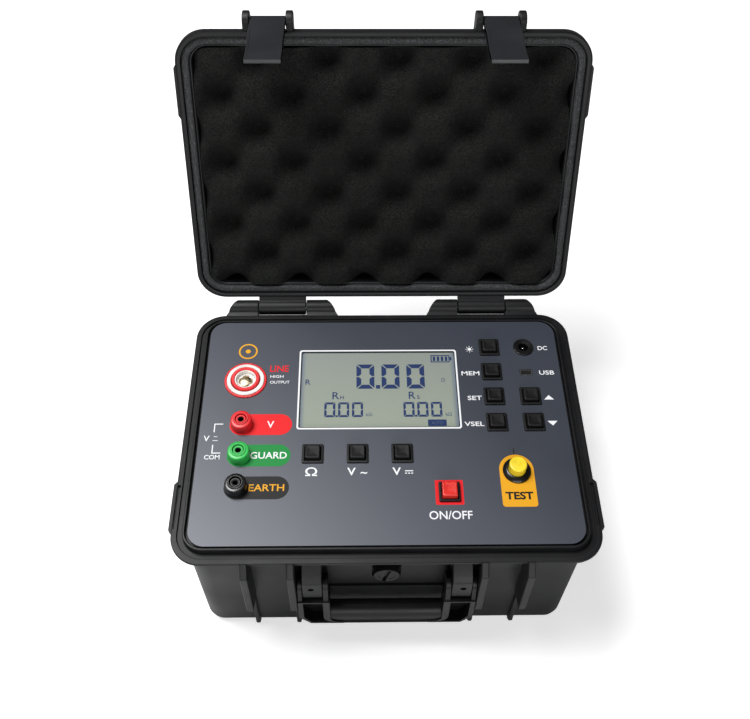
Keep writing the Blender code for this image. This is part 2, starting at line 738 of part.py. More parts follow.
def make_display():
    half_x, half_y = WINDOW_HALF
    window = prism(
        "display_window",
        rounded_rectangle(half_x - GAP, half_y - GAP, 1.3, WINDOW_CENTRE, 3),
        PANEL_TOP - 1.9,
        PANEL_TOP - 0.1,
    )
    finish(window, "window_clear")
    module = prism(
        "display_module",
        rounded_rectangle(half_x + 3.0, half_y + 3.0, 1.0, WINDOW_CENTRE, 2),
        PANEL_TOP - 9.0,
        PANEL_TOP - PANEL_THICK - GAP,
    )
    return finish(module, "lcd_glass")


def make_key(name, x, y):
    """A square switch body with a well, and the cap that travels in it."""
    top = KEY_BEZEL_TOP
    body_sections = (
        (-11.4, 6.0, 6.0, 0.6),
        (GAP, 6.0, 6.0, 0.6),
        (GAP, 7.0, 7.0, 0.9),
        (top - 0.3, 7.0, 7.0, 0.9),
        (top, 6.7, 6.7, 0.8),
        (top, 5.3, 5.3, 0.7),
        (-5.0, 5.3, 5.3, 0.7),
    )
    body = loft(f"{name}_switch_body", body_sections, (x, y, PANEL_TOP), steps=2)
    finish(body, "black_plastic")
    cap_sections = (
        (-2.8, 4.95, 4.95, 0.6),
        (KEY_CAP_TOP - 0.8, 4.9, 4.9, 0.7),
        (KEY_CAP_TOP - 0.2, 4.6, 4.6, 0.7),
        (KEY_CAP_TOP, 4.1, 4.1, 0.6),
    )
    cap = loft(f"{name}_key_cap", cap_sections, (x, y, PANEL_TOP), steps=2)
    return finish(cap, "black_plastic")


def make_power_button():
    body_sections = (
        (-11.4, 5.8, 5.8, 0.6),
        (GAP, 5.8, 5.8, 0.6),
        (GAP, 6.8, 6.8, 0.9),
        (1.6, 6.8, 6.8, 0.9),
        (1.9, 6.5, 6.5, 0.8),
        (1.9, 5.2, 5.7, 0.5),
        (-6.0, 5.2, 5.4, 0.5),
    )
    place = (*POWER_XY, PANEL_TOP)
    finish(loft("power_switch_body", body_sections, place, steps=2), "black_plastic")
    cap_sections = (
        (-2.6, 4.8, 5.1, 0.5),
        (4.6, 4.8, 5.1, 0.6),
        (5.2, 4.5, 4.8, 0.6),
        (5.4, 4.1, 4.4, 0.5),
    )
    return finish(loft("power_button_cap", cap_sections, place, steps=2), "red_plastic")


def make_test_button():
    """A push-and-turn button: collar in the panel, stem that slides, cap that turns on the stem."""
    place = (*TEST_XY, PANEL_TOP)
    collar = (
        (6.7, 3.0),
        (8.4, 3.0),
        (9.0, 2.4),
        (9.0, GAP),
        (7.5, GAP),
        (7.5, -9.5),
        (3.4, -9.5),
        (3.4, -8.0),
        (6.7, -8.0),
    )
    finish(turned("test_button_collar", collar, place, closed=True), "black_plastic")
    stem = ((0.0, 5.0), (3.0, 5.0), (3.0, -18.0), (0.0, -18.0))
    finish(turned("test_button_stem", stem, place, steps=16), "black_plastic")
    top = TEST_CAP_TOP
    cap = (
        (0.0, top),
        (5.0, top - 0.1),
        (6.1, top - 0.8),
        (6.35, top - 1.8),
        (6.35, -3.6),
        (3.3, -3.6),
        (3.3, 5.3),
        (0.0, 5.3),
    )
    return finish(turned("test_button_cap", cap, place), "yellow_plastic")


def make_line_terminal():
    """The high-voltage terminal: red flange, white insulating ring, red shroud, sprung contact."""
    place = (TERMINAL_X, LINE_Y, PANEL_TOP)
    body = (
        (13.0, 1.2),
        (14.0, 1.2),
        (14.4, 0.8),
        (14.4, GAP),
        (11.5, GAP),
        (11.5, -12.0),
        (10.0, -12.0),
        (10.0, 0.6),
        (13.0, 0.6),
    )
    finish(turned("line_terminal_body", body, place, steps=24, closed=True), "red_plastic")
    ring = ((10.2, 1.8), (12.3, 1.8), (12.7, 1.4), (12.7, 0.9), (10.2, 0.9))
    finish(turned("line_terminal_insulator", ring, place, steps=24, closed=True), "white_plastic")
    shroud = (
        (7.4, 3.0),
        (9.3, 3.0),
        (9.7, 2.6),
        (9.7, -12.0),
        (2.4, -12.0),
        (2.4, -9.0),
        (7.4, -9.0),
    )
    finish(turned("line_terminal_shroud", shroud, place, steps=24, closed=True), "red_plastic")
    contact = (
        (0.0, -0.6),
        (3.6, -1.0),
        (5.0, -2.0),
        (5.0, -3.2),
        (2.0, -4.0),
        (2.0, -15.0),
        (0.0, -15.0),
    )
    contact = turned("line_terminal_contact", contact, place)
    notches = []
    for quarter in range(4):
        angle = math.radians(45 + 90 * quarter)
        notches.append(circle(1.6, (TERMINAL_X + 5.2 * math.cos(angle), LINE_Y + 5.2 * math.sin(angle)), 12))
    tools = [prism("notch", notch, PANEL_TOP - 3.6, PANEL_TOP + 2.0) for notch in notches]
    cut(contact, merge("contact_notches", tools))
    return finish(contact, "brass")


def make_jack(name, y, material_name):
    """A shrouded 4 mm socket: coloured insulating post and a metal sleeve inside it."""
    place = (TERMINAL_X, y, PANEL_TOP)
    top = JACK_TOP
    post = (
        (3.85, top),
        (6.0, top),
        (6.9, top - 0.9),
        (7.0, 1.4),
        (7.3, GAP),
        (5.5, GAP),
        (5.5, -18.0),
        (3.0, -18.0),
        (3.0, -16.0),
        (3.85, -15.0),
    )
    finish(turned(f"{name}_jack_body", post, place, closed=True), material_name)
    sleeve = (
        (0.0, -14.0),
        (2.05, -14.0),
        (2.05, top - 2.0),
        (3.3, top - 2.0),
        (3.5, top - 2.4),
        (3.5, -14.6),
        (2.7, -15.6),
        (2.7, -21.0),
        (0.0, -21.0),
    )
    return finish(turned(f"{name}_jack_sleeve", sleeve, place), "brass")


def make_ports():
    """The charging socket with its centre pin, and the data socket."""
    place = (*DC_XY, PANEL_TOP)
    body = (
        (0.0, -9.5),
        (3.2, -9.5),
        (3.2, 0.9),
        (6.7, 1.3),
        (7.1, 0.9),
        (7.1, GAP),
        (5.5, GAP),
        (5.5, -11.0),
        (0.0, -11.0),
    )
    finish(turned("dc_jack_body", body, place), "black_plastic")
    pin = ((0.0, -0.4), (0.8, -0.8), (1.0, -1.4), (1.0, -9.2), (0.0, -9.2))
    finish(turned("dc_jack_pin", pin, place, steps=12), "pin_steel")
    socket = loft(
        "usb_socket",
        (
            (-8.0, 4.1, 2.3, 0.6),
            (-0.2, 4.1, 2.3, 0.6),
            (-0.2, 3.6, 1.8, 0.5),
            (-6.5, 3.6, 1.8, 0.5),
        ),
        (*USB_XY, PANEL_TOP),
        steps=2,
    )
    add(socket, box("usb_tongue", (-2.6, 2.6), (-0.4, 0.4), (-7.0, -1.4), (*USB_XY, PANEL_TOP)))
    return finish(socket, "pin_steel")


# ---------------------------------------------------------------- inside the case


def make_internals():
    """Board behind the panel, high-voltage module and battery in the tub, and a beeper."""
    board_top = PANEL_TOP - 11.7
    board = prism(
        "main_board",
        rounded_rectangle(93.0, 70.0, 2.0, (20.0, 4.0), 2),
        board_top - BOARD_THICK,
        board_top,
        holes=[circle(4.0, TEST_XY), circle(6.0, DC_XY)],
    )
    finish(board, "board_green")
    low = FLOOR_THICK + GAP
    battery = ((low, 60.0, 34.0, 3.0), (low + 38.0, 60.0, 34.0, 3.0))
    finish(loft("battery_pack", battery, (-45.0, -40.0, 0.0), steps=3), "battery_wrap")
    supply = ((low, 42.0, 58.0, 2.0), (low + 66.0, 42.0, 58.0, 2.0))
    finish(loft("high_voltage_module", supply, (66.0, 8.0, 0.0), steps=2), "black_plastic")
    beeper = ((0.0, 0.0), (6.0, 0.0), (6.0, -7.5), (1.2, -7.5), (1.2, -6.0), (0.0, -6.0))
    place = (-40.0, -48.0, board_top - BOARD_THICK - GAP)
    return finish(turned("beeper", beeper, place), "black_plastic")


# ---------------------------------------------------------------- assembly


clear_scene()
pieces = new_collection(COLLECTION)
cutters = new_collection("Cutters")
lid_axis = axis_empty("lid_axis", (0.0, HINGE_Y, HINGE_Z))

make_base()
make_lid()
make_seal()
make_foam()
make_pins()
make_latch("left", -1)
make_latch("right", 1)
make_handle()
make_valve()
make_panel()
make_display()
for key_name, (key_x, key_y) in KEYS.items():
    make_key(key_name, key_x, key_y)
make_power_button()
make_test_button()
make_line_terminal()
make_jack("volt", JACK_Y["volt"], "red_plastic")
make_jack("guard", JACK_Y["guard"], "green_plastic")
make_jack("earth", JACK_Y["earth"], "black_plastic")
make_ports()
make_internals()

lid_axis.rotation_euler.x = -math.radians(LID_OPEN_DEG)
bpy.context.view_layer.update()
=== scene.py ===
"""Looks of the insulation resistance tester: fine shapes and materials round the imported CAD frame.

Lengths are in millimetres and MM turns them into metres. Places come from the CAD nodes' boxes, so
each control sits where the frame has it. Pieces of the lid are drawn with the lid shut, in the same
frame as the base, and swing_open() then turns them by the lid hinge's own range.
"""

import json
import math

import bmesh
import bpy
from mathutils import Matrix, Vector, noise


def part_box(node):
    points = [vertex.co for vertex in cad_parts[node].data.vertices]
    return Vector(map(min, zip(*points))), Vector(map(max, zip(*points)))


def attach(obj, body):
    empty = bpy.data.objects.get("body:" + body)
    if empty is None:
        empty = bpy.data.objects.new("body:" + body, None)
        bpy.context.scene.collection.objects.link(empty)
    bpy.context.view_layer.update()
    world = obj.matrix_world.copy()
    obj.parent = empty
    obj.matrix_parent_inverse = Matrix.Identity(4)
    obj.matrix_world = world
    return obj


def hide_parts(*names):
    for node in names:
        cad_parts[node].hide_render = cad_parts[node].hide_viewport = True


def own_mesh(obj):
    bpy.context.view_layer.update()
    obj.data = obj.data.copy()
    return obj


MM = 0.001
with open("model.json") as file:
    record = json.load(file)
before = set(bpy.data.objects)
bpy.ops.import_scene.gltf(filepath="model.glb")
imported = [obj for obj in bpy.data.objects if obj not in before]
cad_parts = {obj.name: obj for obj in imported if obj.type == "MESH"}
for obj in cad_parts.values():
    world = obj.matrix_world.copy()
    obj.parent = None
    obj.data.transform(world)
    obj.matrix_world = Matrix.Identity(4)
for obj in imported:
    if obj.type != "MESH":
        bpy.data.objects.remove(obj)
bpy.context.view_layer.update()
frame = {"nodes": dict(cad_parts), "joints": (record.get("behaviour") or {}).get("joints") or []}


# ---- what the frame says


def span(node):
    """Lowest and highest corner of a CAD node, in millimetres."""
    low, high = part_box(node)
    return low / MM, high / MM


def centre(node):
    """Middle of a CAD node's box, in millimetres."""
    low, high = span(node)
    return (low + high) / 2


def joint(name):
    return next(entry for entry in frame["joints"] if entry["name"] == name)


def swing_open():
    """The turn that carries a piece drawn with the lid shut to the open lid of the rest pose."""
    hinge = joint("lid_hinge")
    pivot = Vector(hinge["pos_m"])
    angle = -math.radians(hinge["range_deg"][0])
    turn = Matrix.Rotation(angle, 4, Vector(hinge["axis"]))
    return Matrix.Translation(pivot) @ turn @ Matrix.Translation(-pivot)


OPEN_LID = swing_open()
PANEL_TOP = span("panel_plate")[1].z
PANEL_HALF_X = span("panel_plate")[1].x
PANEL_HALF_Y = span("panel_plate")[1].y
HINGE = Vector(joint("lid_hinge")["pos_m"]) / MM
HANDLE_PIVOT = Vector(joint("handle_pivot")["pos_m"]) / MM
KEYS = ("backlight", "memory", "set", "voltage_select", "up", "down", "ohm", "ac_voltage", "dc_voltage")

# Case outline
RIM_HALF_X = PANEL_HALF_X + 10.9
RIM_HALF_Y = PANEL_HALF_Y + 10.1
RIM_CORNER = 19.8
LEDGE_TOP = 110.8
GROOVE_FLOOR = 109.5
TONGUE_TOP = 114.6
FLANGE_UNDER = 108.0
LID_RIM = 111.1
LID_TOP = 153.0
KNUCKLE_RADIUS = 5.5
KNUCKLE_ENDS = (32.0, 55.2, 55.7, 89.8, 90.3, 113.7)  # base, lid and base knuckles along X
RIB_X = (58.9, 87.1)
LATCH_HALF_WIDTH = 11.0
LATCH_X = 73.0
LATCH_PIVOT = (-101.8, 117.5)
LATCH_LEAN_DEG = 16.0
BRACKET_SPAN = (40.5, 52.9)
HANDLE_HALF_X = 56.2
VALVE_Z = centre("valve_knob").z

# Egg-crate foam
FOAM_PITCH_X = 23.4  # from a pit to the next peak along X
FOAM_PITCH_Y = 23.5
FOAM_PHASE = (10.4, 17.2)  # a pit's centre
FOAM_DEPTH = 17.0
FOAM_FACE = LID_RIM + 0.6

CORNER_STEPS = 14
PRINT_THICK = 0.06
PRINT_GAP = 0.01  # between a print and the face below it
CAPITAL_SHARE = 0.73  # a capital's height over the font's size
WELD = 0.002
SWITCH_DEPTH = 11.4  # of the keys' and the power button's bodies below the panel's face
WHITE = "print_white"


# ---- shader nodes


class Shader:
    """A material under construction: a Principled shader and short calls that feed its inputs."""

    def __init__(self, name):
        self.material = bpy.data.materials.new(name)
        self.material.use_nodes = True
        self.tree = self.material.node_tree
        self.shader = self.tree.nodes["Principled BSDF"]
        self.place = self.node("ShaderNodeTexCoord").outputs["Object"]

    def node(self, kind, inputs=None, **settings):
        made = self.tree.nodes.new(kind)
        for key, value in settings.items():
            setattr(made, key, value)
        for key, value in (inputs or {}).items():
            self.feed(made.inputs[key], value)
        return made

    def feed(self, socket, value):
        if isinstance(value, bpy.types.NodeSocket):
            self.tree.links.new(value, socket)
        elif isinstance(value, tuple) and socket.type == "RGBA":
            socket.default_value = (*value, 1.0)
        else:
            socket.default_value = value

    def noise(self, scale, detail=3.0, rough=0.5):
        """Noise with features about 1 / scale of a millimetre across."""
        inputs = {"Vector": self.place, "Scale": scale / MM, "Detail": detail, "Roughness": rough}
        return self.node("ShaderNodeTexNoise", inputs).outputs["Fac"]

    def ramp(self, value, low, high, to_low=0.0, to_high=1.0):
        inputs = {"Value": value, "From Min": low, "From Max": high, "To Min": to_low, "To Max": to_high}
        return self.node("ShaderNodeMapRange", inputs).outputs["Result"]

    def mix(self, share, first, second):
        made = self.node("ShaderNodeMix", data_type="RGBA")
        self.feed(made.inputs["Factor"], share)
        self.feed(made.inputs[6], first)
        self.feed(made.inputs[7], second)
        return made.outputs[2]

    def maths(self, operation, *values):
        return self.node("ShaderNodeMath", dict(enumerate(values)), operation=operation).outputs[0]

    def axis(self, name):
        return self.node("ShaderNodeSeparateXYZ", {"Vector": self.place}).outputs[name]

    def bump(self, height, depth, below=None):
        """Bump of that depth in millimetres, laid over an earlier bump if there is one."""
        made = self.node("ShaderNodeBump", {"Height": height, "Distance": depth * MM, "Strength": 1.0})
        if below:
            self.feed(made.inputs["Normal"], below)
        return made.outputs["Normal"]

    def set(self, **values):
        """Feeds the shader's own inputs, named in small letters, and gives the finished material."""
        for key, value in values.items():
            self.feed(self.shader.inputs[key.replace("_", " ").title().replace("Ior", "IOR")], value)
        return self.material


def dimmed(colour, share):
    return tuple(part * share for part in colour)


def moulded_plastic(name, colour, roughness, texture=0.012, wear=0.35, scale=2.2, sheen=0.36):
    """Injection-moulded plastic: spark-eroded grain, uneven gloss and faint scuffs."""
    s = Shader(name)
    grain = s.noise(scale, 4.0, 0.6)
    patches = s.noise(0.035, 3.0)
    scuffs = s.ramp(s.noise(0.16, 6.0, 0.7), 0.60, 0.78)
    pale = tuple(part * 1.7 + 0.003 for part in colour)
    tone = s.mix(s.ramp(patches, 0.3, 0.7, 0.0, 0.35), colour, pale)
    return s.set(
        base_color=s.mix(s.maths("MULTIPLY", scuffs, wear), tone, pale),
        roughness=s.ramp(patches, 0.25, 0.75, roughness - 0.05, roughness + 0.08),
        specular_ior_level=sheen,
        normal=s.bump(grain, texture),
    )


def gloss_plastic(name, colour, roughness):
    """Smooth moulded plastic with a slight orange peel."""
    s = Shader(name)
    patches = s.noise(0.12, 3.0)
    return s.set(
        base_color=s.mix(s.ramp(patches, 0.35, 0.65), dimmed(colour, 0.82), colour),
        roughness=s.ramp(patches, 0.3, 0.7, roughness - 0.05, roughness + 0.07),
        normal=s.bump(s.noise(0.5, 2.0), 0.01),
    )


def foam_material():
    """Open-cell foam: dark cells, lighter cell walls and a soft sheen."""
    s = Shader("foam_open_cell")
    cells = s.node("ShaderNodeTexVoronoi", {"Vector": s.place, "Scale": 1.25 / MM}).outputs["Distance"]
    fine = s.noise(1.6, 4.0, 0.7)
    broad = s.noise(0.05, 2.0)
    speckle = s.maths("MULTIPLY", s.ramp(cells, 0.15, 0.65), fine)
    colour = s.mix(s.ramp(speckle, 0.1, 0.55), (0.0016, 0.0018, 0.0016), (0.0165, 0.0178, 0.0162))
    return s.set(
        base_color=s.mix(s.ramp(broad, 0.35, 0.65, 0.0, 0.2), colour, (0.0070, 0.0075, 0.0070)),
        roughness=0.97,
        specular_ior_level=0.1,
        normal=s.bump(cells, 0.35, below=s.bump(fine, 0.22)),
    )


def gasket_material():
    """Closed-cell sponge cord: grey, flecked with pale cells."""
    s = Shader("gasket_sponge")
    flecks = s.ramp(s.noise(1.1, 5.0, 0.75), 0.47, 0.64)
    fine = s.noise(2.4, 3.0)
    colour = s.mix(flecks, (0.007, 0.0075, 0.008), (0.085, 0.09, 0.095))
    return s.set(base_color=colour, roughness=0.7, normal=s.bump(fine, 0.2, below=s.bump(flecks, 0.1)))


def panel_material():
    """Printed overlay film: blue-grey, with a painted light gradient that makes it palest at its front
    left corner and darkest at its back right, and a fine matt texture.
    """
    s = Shader("panel_film")
    away = s.ramp(s.axis("Y"), -PANEL_HALF_Y * MM, PANEL_HALF_Y * MM)
    across = s.ramp(s.axis("X"), -PANEL_HALF_X * MM, PANEL_HALF_X * MM)
    # painted light: the film is paled towards the front left and darkened towards the back right, as the
    # studio light falls on it
    painted_light_sweep = s.ramp(s.maths("ADD", across, away), 0.0, 1.3)
    tone = s.mix(painted_light_sweep, (0.080, 0.088, 0.110), (0.028, 0.033, 0.047))
    cloud = s.ramp(s.noise(0.02, 2.0), 0.3, 0.7, 0.0, 0.06)
    grain = s.noise(2.0, 3.0)
    return s.set(
        base_color=s.mix(cloud, tone, (0.10, 0.11, 0.13)),
        roughness=s.ramp(grain, 0.3, 0.7, 0.34, 0.46),
        normal=s.bump(grain, 0.008),
    )


def print_material(name, colour):
    """Screen-printing ink, with a trace of the mesh in its gloss."""
    s = Shader(name)
    mesh = s.noise(4.0, 2.0)
    return s.set(
        base_color=s.mix(s.ramp(mesh, 0.3, 0.7), dimmed(colour, 0.93), colour),
        roughness=s.ramp(mesh, 0.3, 0.7, 0.42, 0.55),
        specular_ior_level=0.22,
        normal=s.bump(mesh, 0.002),
    )


def lcd_material():
    """The cell behind the window: grey-green, a little darker and bluer at its edges, and paler towards
    the front by a painted sheen.
    """
    s = Shader("lcd_cell")
    low, high = span("display_window")
    middle_x = (low.x + high.x) / 2
    from_middle = s.maths("ABSOLUTE", s.maths("SUBTRACT", s.axis("X"), middle_x * MM))
    reach = (high.x - middle_x) * MM
    # painted sheen: the cell's face is paler at the front of the window and darker at the back
    slope = s.ramp(s.axis("Y"), low.y * MM, high.y * MM)
    face = s.mix(slope, (0.40, 0.45, 0.37), (0.34, 0.38, 0.345))
    fine = s.noise(3.0, 2.0)
    return s.set(
        base_color=s.mix(s.ramp(from_middle, reach * 0.94, reach), face, (0.20, 0.25, 0.31)),
        roughness=s.ramp(fine, 0.3, 0.7, 0.45, 0.55),
        normal=s.bump(fine, 0.002),
    )


def window_material():
    """Clear cover: mostly see-through, with a clean reflection."""
    s = Shader("window_cover")
    rough = s.ramp(s.noise(0.05, 3.0), 0.3, 0.7, 0.05, 0.10)
    return s.set(base_color=(0.02, 0.02, 0.02), roughness=rough, alpha=0.12, ior=1.45)


def metal_material(name, colour, roughness):
    """Machined metal, a little uneven in tone and gloss."""
    s = Shader(name)
    lines = s.noise(1.5, 4.0)
    return s.set(
        base_color=s.mix(s.ramp(lines, 0.3, 0.7), dimmed(colour, 0.8), colour),
        metallic=1.0,
        roughness=s.ramp(lines, 0.3, 0.7, roughness, roughness + 0.12),
        normal=s.bump(lines, 0.01),
    )


def stage_material():
    """White paper; lit a little extra as the camera sees it, so that it stays pale to the horizon."""
    s = Shader("floor_paper")
    seen = s.node("ShaderNodeLightPath").outputs["Is Camera Ray"]
    return s.set(
        base_color=s.mix(s.noise(0.3, 2.0), (0.82, 0.82, 0.82), (0.84, 0.84, 0.84)),
        roughness=0.9,
        emission_color=(1.0, 1.0, 1.0),
        emission_strength=s.ramp(seen, 0.0, 1.0, 0.0, 0.50),
    )


def make_materials():
    """Every finish, by its name."""
    made = [
        moulded_plastic("case_moulding", (0.0036, 0.0038, 0.0045), 0.46, sheen=0.27),
        moulded_plastic("latch_moulding", (0.0110, 0.0118, 0.0138), 0.36, texture=0.006, wear=0.2),
        moulded_plastic("handle_black", (0.0016, 0.0017, 0.0019), 0.42, texture=0.010, sheen=0.24),
        moulded_plastic("key_moulding", (0.0030, 0.0030, 0.0032), 0.46, 0.004, 0.1, 4.0, 0.24),
        gloss_plastic("socket_black", (0.0050, 0.0050, 0.0050), 0.28),
        gloss_plastic("socket_red", (0.72, 0.018, 0.022), 0.38),
        gloss_plastic("socket_green", (0.030, 0.46, 0.080), 0.38),
        gloss_plastic("terminal_white", (0.78, 0.77, 0.74), 0.35),
        gloss_plastic("cap_red", (0.66, 0.026, 0.018), 0.28),
        gloss_plastic("cap_yellow", (0.84, 0.64, 0.030), 0.30),
        print_material("print_white", (0.76, 0.77, 0.79)),
        print_material("print_red", (0.68, 0.008, 0.012)),
        print_material("print_green", (0.004, 0.21, 0.036)),
        print_material("print_black", (0.0070, 0.0070, 0.0080)),
        print_material("print_amber", (0.70, 0.33, 0.010)),
        print_material("segment_blue", (0.020, 0.048, 0.165)),
        print_material("segment_pale", (0.10, 0.15, 0.24)),
        metal_material("brass", (0.80, 0.66, 0.42), 0.22),
        metal_material("nickel", (0.62, 0.60, 0.56), 0.20),
        metal_material("steel", (0.55, 0.56, 0.57), 0.25),
        foam_material(),
        gasket_material(),
        panel_material(),
        lcd_material(),
        window_material(),
        stage_material(),
    ]
    return {material.name: material for material in made}


materials = make_materials()


# ---- shapes


def arc(centre_a, centre_b, radius, start_deg, end_deg, steps):
    """Points of an arc in a plane, both ends included."""
    points = []
    for i in range(steps + 1):
        angle = math.radians(start_deg + (end_deg - start_deg) * i / steps)
        points.append((centre_a + radius * math.cos(angle), centre_b + radius * math.sin(angle)))
    return points


def rounded_rectangle(half_x, half_y, radius, middle=(0.0, 0.0), steps=CORNER_STEPS):
    points = []
    for sign_x, sign_y, start in ((1, 1, 0), (-1, 1, 90), (-1, -1, 180), (1, -1, 270)):
        corner_x = middle[0] + sign_x * (half_x - radius)
        corner_y = middle[1] + sign_y * (half_y - radius)
        points += arc(corner_x, corner_y, radius, start, start + 90, steps)
    return points


def circle(radius, middle=(0.0, 0.0), steps=48):
    return arc(middle[0], middle[1], radius, 0, 360 - 360 / steps, steps - 1)


def scene_object(name, mesh):
    obj = bpy.data.objects.new(name, mesh)
    bpy.context.scene.collection.objects.link(obj)
    return obj


def from_bmesh(name, shape):
    bmesh.ops.recalc_face_normals(shape, faces=shape.faces)
    mesh = bpy.data.meshes.new(name)
    shape.to_mesh(mesh)
    shape.free()
    return scene_object(name, mesh)


def skin(shape, rings, closed_ring=True):
    """Faces between neighbouring rings of vertices; a ring of one vertex is a pole."""
    for low, high in zip(rings, rings[1:]):
        count = max(len(low), len(high))
        last = count if closed_ring else count - 1
        for i in range(last):
            j = (i + 1) % count
            corners = [low[i % len(low)], low[j % len(low)], high[j % len(high)], high[i % len(high)]]
            shape.faces.new(list(dict.fromkeys(corners)))


def ring_at(shape, outline, z):
    """A ring of new vertices along a flat outline."""
    return [shape.verts.new((x * MM, y * MM, z * MM)) for x, y in outline]


def moved(place):
    return Matrix.Translation(Vector(place) * MM)


def loft(name, sections, steps=CORNER_STEPS, ring=False, middle=(0.0, 0.0)):
    """A body through rounded rectangles (z, half_x, half_y, corner), capped or run round a ring."""
    shape = bmesh.new()
    rings = [
        ring_at(shape, rounded_rectangle(half_x, half_y, corner, middle, steps), z)
        for z, half_x, half_y, corner in sections
    ]
    if ring:
        rings.append(rings[0])
    else:
        shape.faces.new(rings[0])
        shape.faces.new(rings[-1])
    skin(shape, rings)
    return from_bmesh(name, shape)


def square_loft(name, sections, middle):
    """A small upright piece with square sections (z, half width, corner)."""
    return loft(name, [(z, half, half, corner) for z, half, corner in sections], 5, middle=middle)


def lathe(name, profile, place, steps=48, along="Z"):
    """A turned piece: the profile (radius, z) spun about Z, or about -Y, through place."""
    shape = bmesh.new()
    rings = [
        ring_at(shape, circle(radius, steps=steps) if radius else [(0.0, 0.0)], z) for radius, z in profile
    ]
    if profile[0][0] > 0.0:
        rings.append(rings[0])
    skin(shape, rings)
    turn = Matrix.Rotation(math.radians(90), 4, "X") if along == "-Y" else Matrix.Identity(4)
    bmesh.ops.transform(shape, matrix=moved(place) @ turn, verts=shape.verts)
    return from_bmesh(name, shape)


def rod(radius, low, high, place, steps=32, along="Z"):
    """A plain cylinder, used as a cutting tool."""
    return lathe("rod", ((0.0, high), (radius, high), (radius, low), (0.0, low)), place, steps, along)


PLANES = {
    "XY": Matrix(((1, 0, 0), (0, 1, 0), (0, 0, 1))).to_4x4(),
    "YZ": Matrix(((0, 0, 1), (1, 0, 0), (0, 1, 0))).to_4x4(),
    "XZ": Matrix(((1, 0, 0), (0, 0, -1), (0, 1, 0))).to_4x4(),
}


def prism(name, outline, low, high, plane="XY"):
    """A flat outline thickened from low to high along +Z (XY), +X (YZ) or -Y (XZ)."""
    shape = bmesh.new()
    rings = [ring_at(shape, outline, level) for level in (low, high)]
    shape.faces.new(rings[0])
    shape.faces.new(rings[1])
    skin(shape, rings)
    bmesh.ops.transform(shape, matrix=PLANES[plane], verts=shape.verts)
    return from_bmesh(name, shape)


def side_prism(name, outline, end, other_end):
    """A side view thickened along X between two ends, given in either order."""
    return prism(name, outline, *sorted((end, other_end)), "YZ")


def plate(name, outline, holes, low, high):
    """A flat outline with holes in it, thickened from low to high along Z."""
    curve = bpy.data.curves.new(name, "CURVE")
    curve.dimensions = "2D"
    curve.fill_mode = "BOTH"
    curve.extrude = (high - low) / 2 * MM
    for points in (outline, *holes):
        spline = curve.splines.new("POLY")
        spline.points.add(len(points) - 1)
        for point, (a, b) in zip(spline.points, points):
            point.co = (a * MM, b * MM, 0.0, 1.0)
        spline.use_cyclic_u = True
    return from_curve(name, curve, (low + high) / 2)


def from_curve(name, curve, z):
    """The mesh of a curve or text, its caps welded, raised to z."""
    guide = scene_object(name + "_guide", curve)
    mesh = bpy.data.meshes.new_from_object(guide.evaluated_get(bpy.context.evaluated_depsgraph_get()))
    bpy.data.objects.remove(guide, do_unlink=True)
    shape = bmesh.new()
    shape.from_mesh(mesh)
    bmesh.ops.remove_doubles(shape, verts=shape.verts, dist=WELD * MM)
    bmesh.ops.translate(shape, vec=(0.0, 0.0, z * MM), verts=shape.verts)
    return from_bmesh(name, shape)


def join(name, parts):
    """One object with the meshes of several."""
    shape = bmesh.new()
    for part in parts:
        shape.from_mesh(part.data)
        bpy.data.objects.remove(part, do_unlink=True)
    return from_bmesh(name, shape)


def mirrored(obj):
    """A copy of the piece on the other side of the case."""
    shape = bmesh.new()
    shape.from_mesh(obj.data)
    bmesh.ops.transform(shape, matrix=Matrix.Diagonal((-1, 1, 1, 1)), verts=shape.verts)
    return from_bmesh(obj.name + "_mirror", shape)


def cut(target, tool):
    """Takes the tool's shape out of the target's mesh at once."""
    modifier = target.modifiers.new("Cut", "BOOLEAN")
    modifier.operation = "DIFFERENCE"
    modifier.object = tool
    modifier.solver = "EXACT"
    settle(target)
    bpy.data.objects.remove(tool, do_unlink=True)


def settle(obj):
    """Turns the piece's modifiers into plain mesh."""
    mesh = bpy.data.meshes.new_from_object(obj.evaluated_get(bpy.context.evaluated_depsgraph_get()))
    obj.modifiers.clear()
    obj.data = mesh


def soften(obj, width, segments=3, angle=28.0):
    """Rounds the sharp edges by a radius, in millimetres, and keeps the flats looking flat."""
    bevel = obj.modifiers.new("Round", "BEVEL")
    bevel.width = width * MM
    bevel.segments = segments
    bevel.limit_method = "ANGLE"
    bevel.angle_limit = math.radians(angle)
    bevel.use_clamp_overlap = True
    settle(obj)
    return obj


def paint(obj, material):
    obj.data.materials.clear()
    obj.data.materials.append(materials[material])


def show(obj, body, material, stands_for=(), smooth_deg=32.0):
    """Finishes a visible piece: shading, material, and the CAD body that it moves with."""
    obj.data.shade_smooth()
    obj.data.set_sharp_from_angle(angle=math.radians(smooth_deg))
    paint(obj, material)
    flats = obj.modifiers.new("Flats", "WEIGHTED_NORMAL")
    flats.keep_sharp = True
    settle(obj)
    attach(obj, body)
    if stands_for:
        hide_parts(*stands_for)
    return obj


def show_group(pieces, body):
    """Shows the like details of a case half, numbered after their first name."""
    for i, piece in enumerate(pieces):
        piece.name = f"{body}_{piece.name.split('.')[0]}_{i + 1}"
        show(piece, body, "case_moulding")


def open_up(obj):
    """Carries a piece drawn with the lid shut to the open lid."""
    obj.data.transform(OPEN_LID)
    return obj


# ---- case base


def rim(z, inset, corner):
    """A section that runs evenly inside the rim's outline."""
    return z, RIM_HALF_X - inset, RIM_HALF_Y - inset, corner


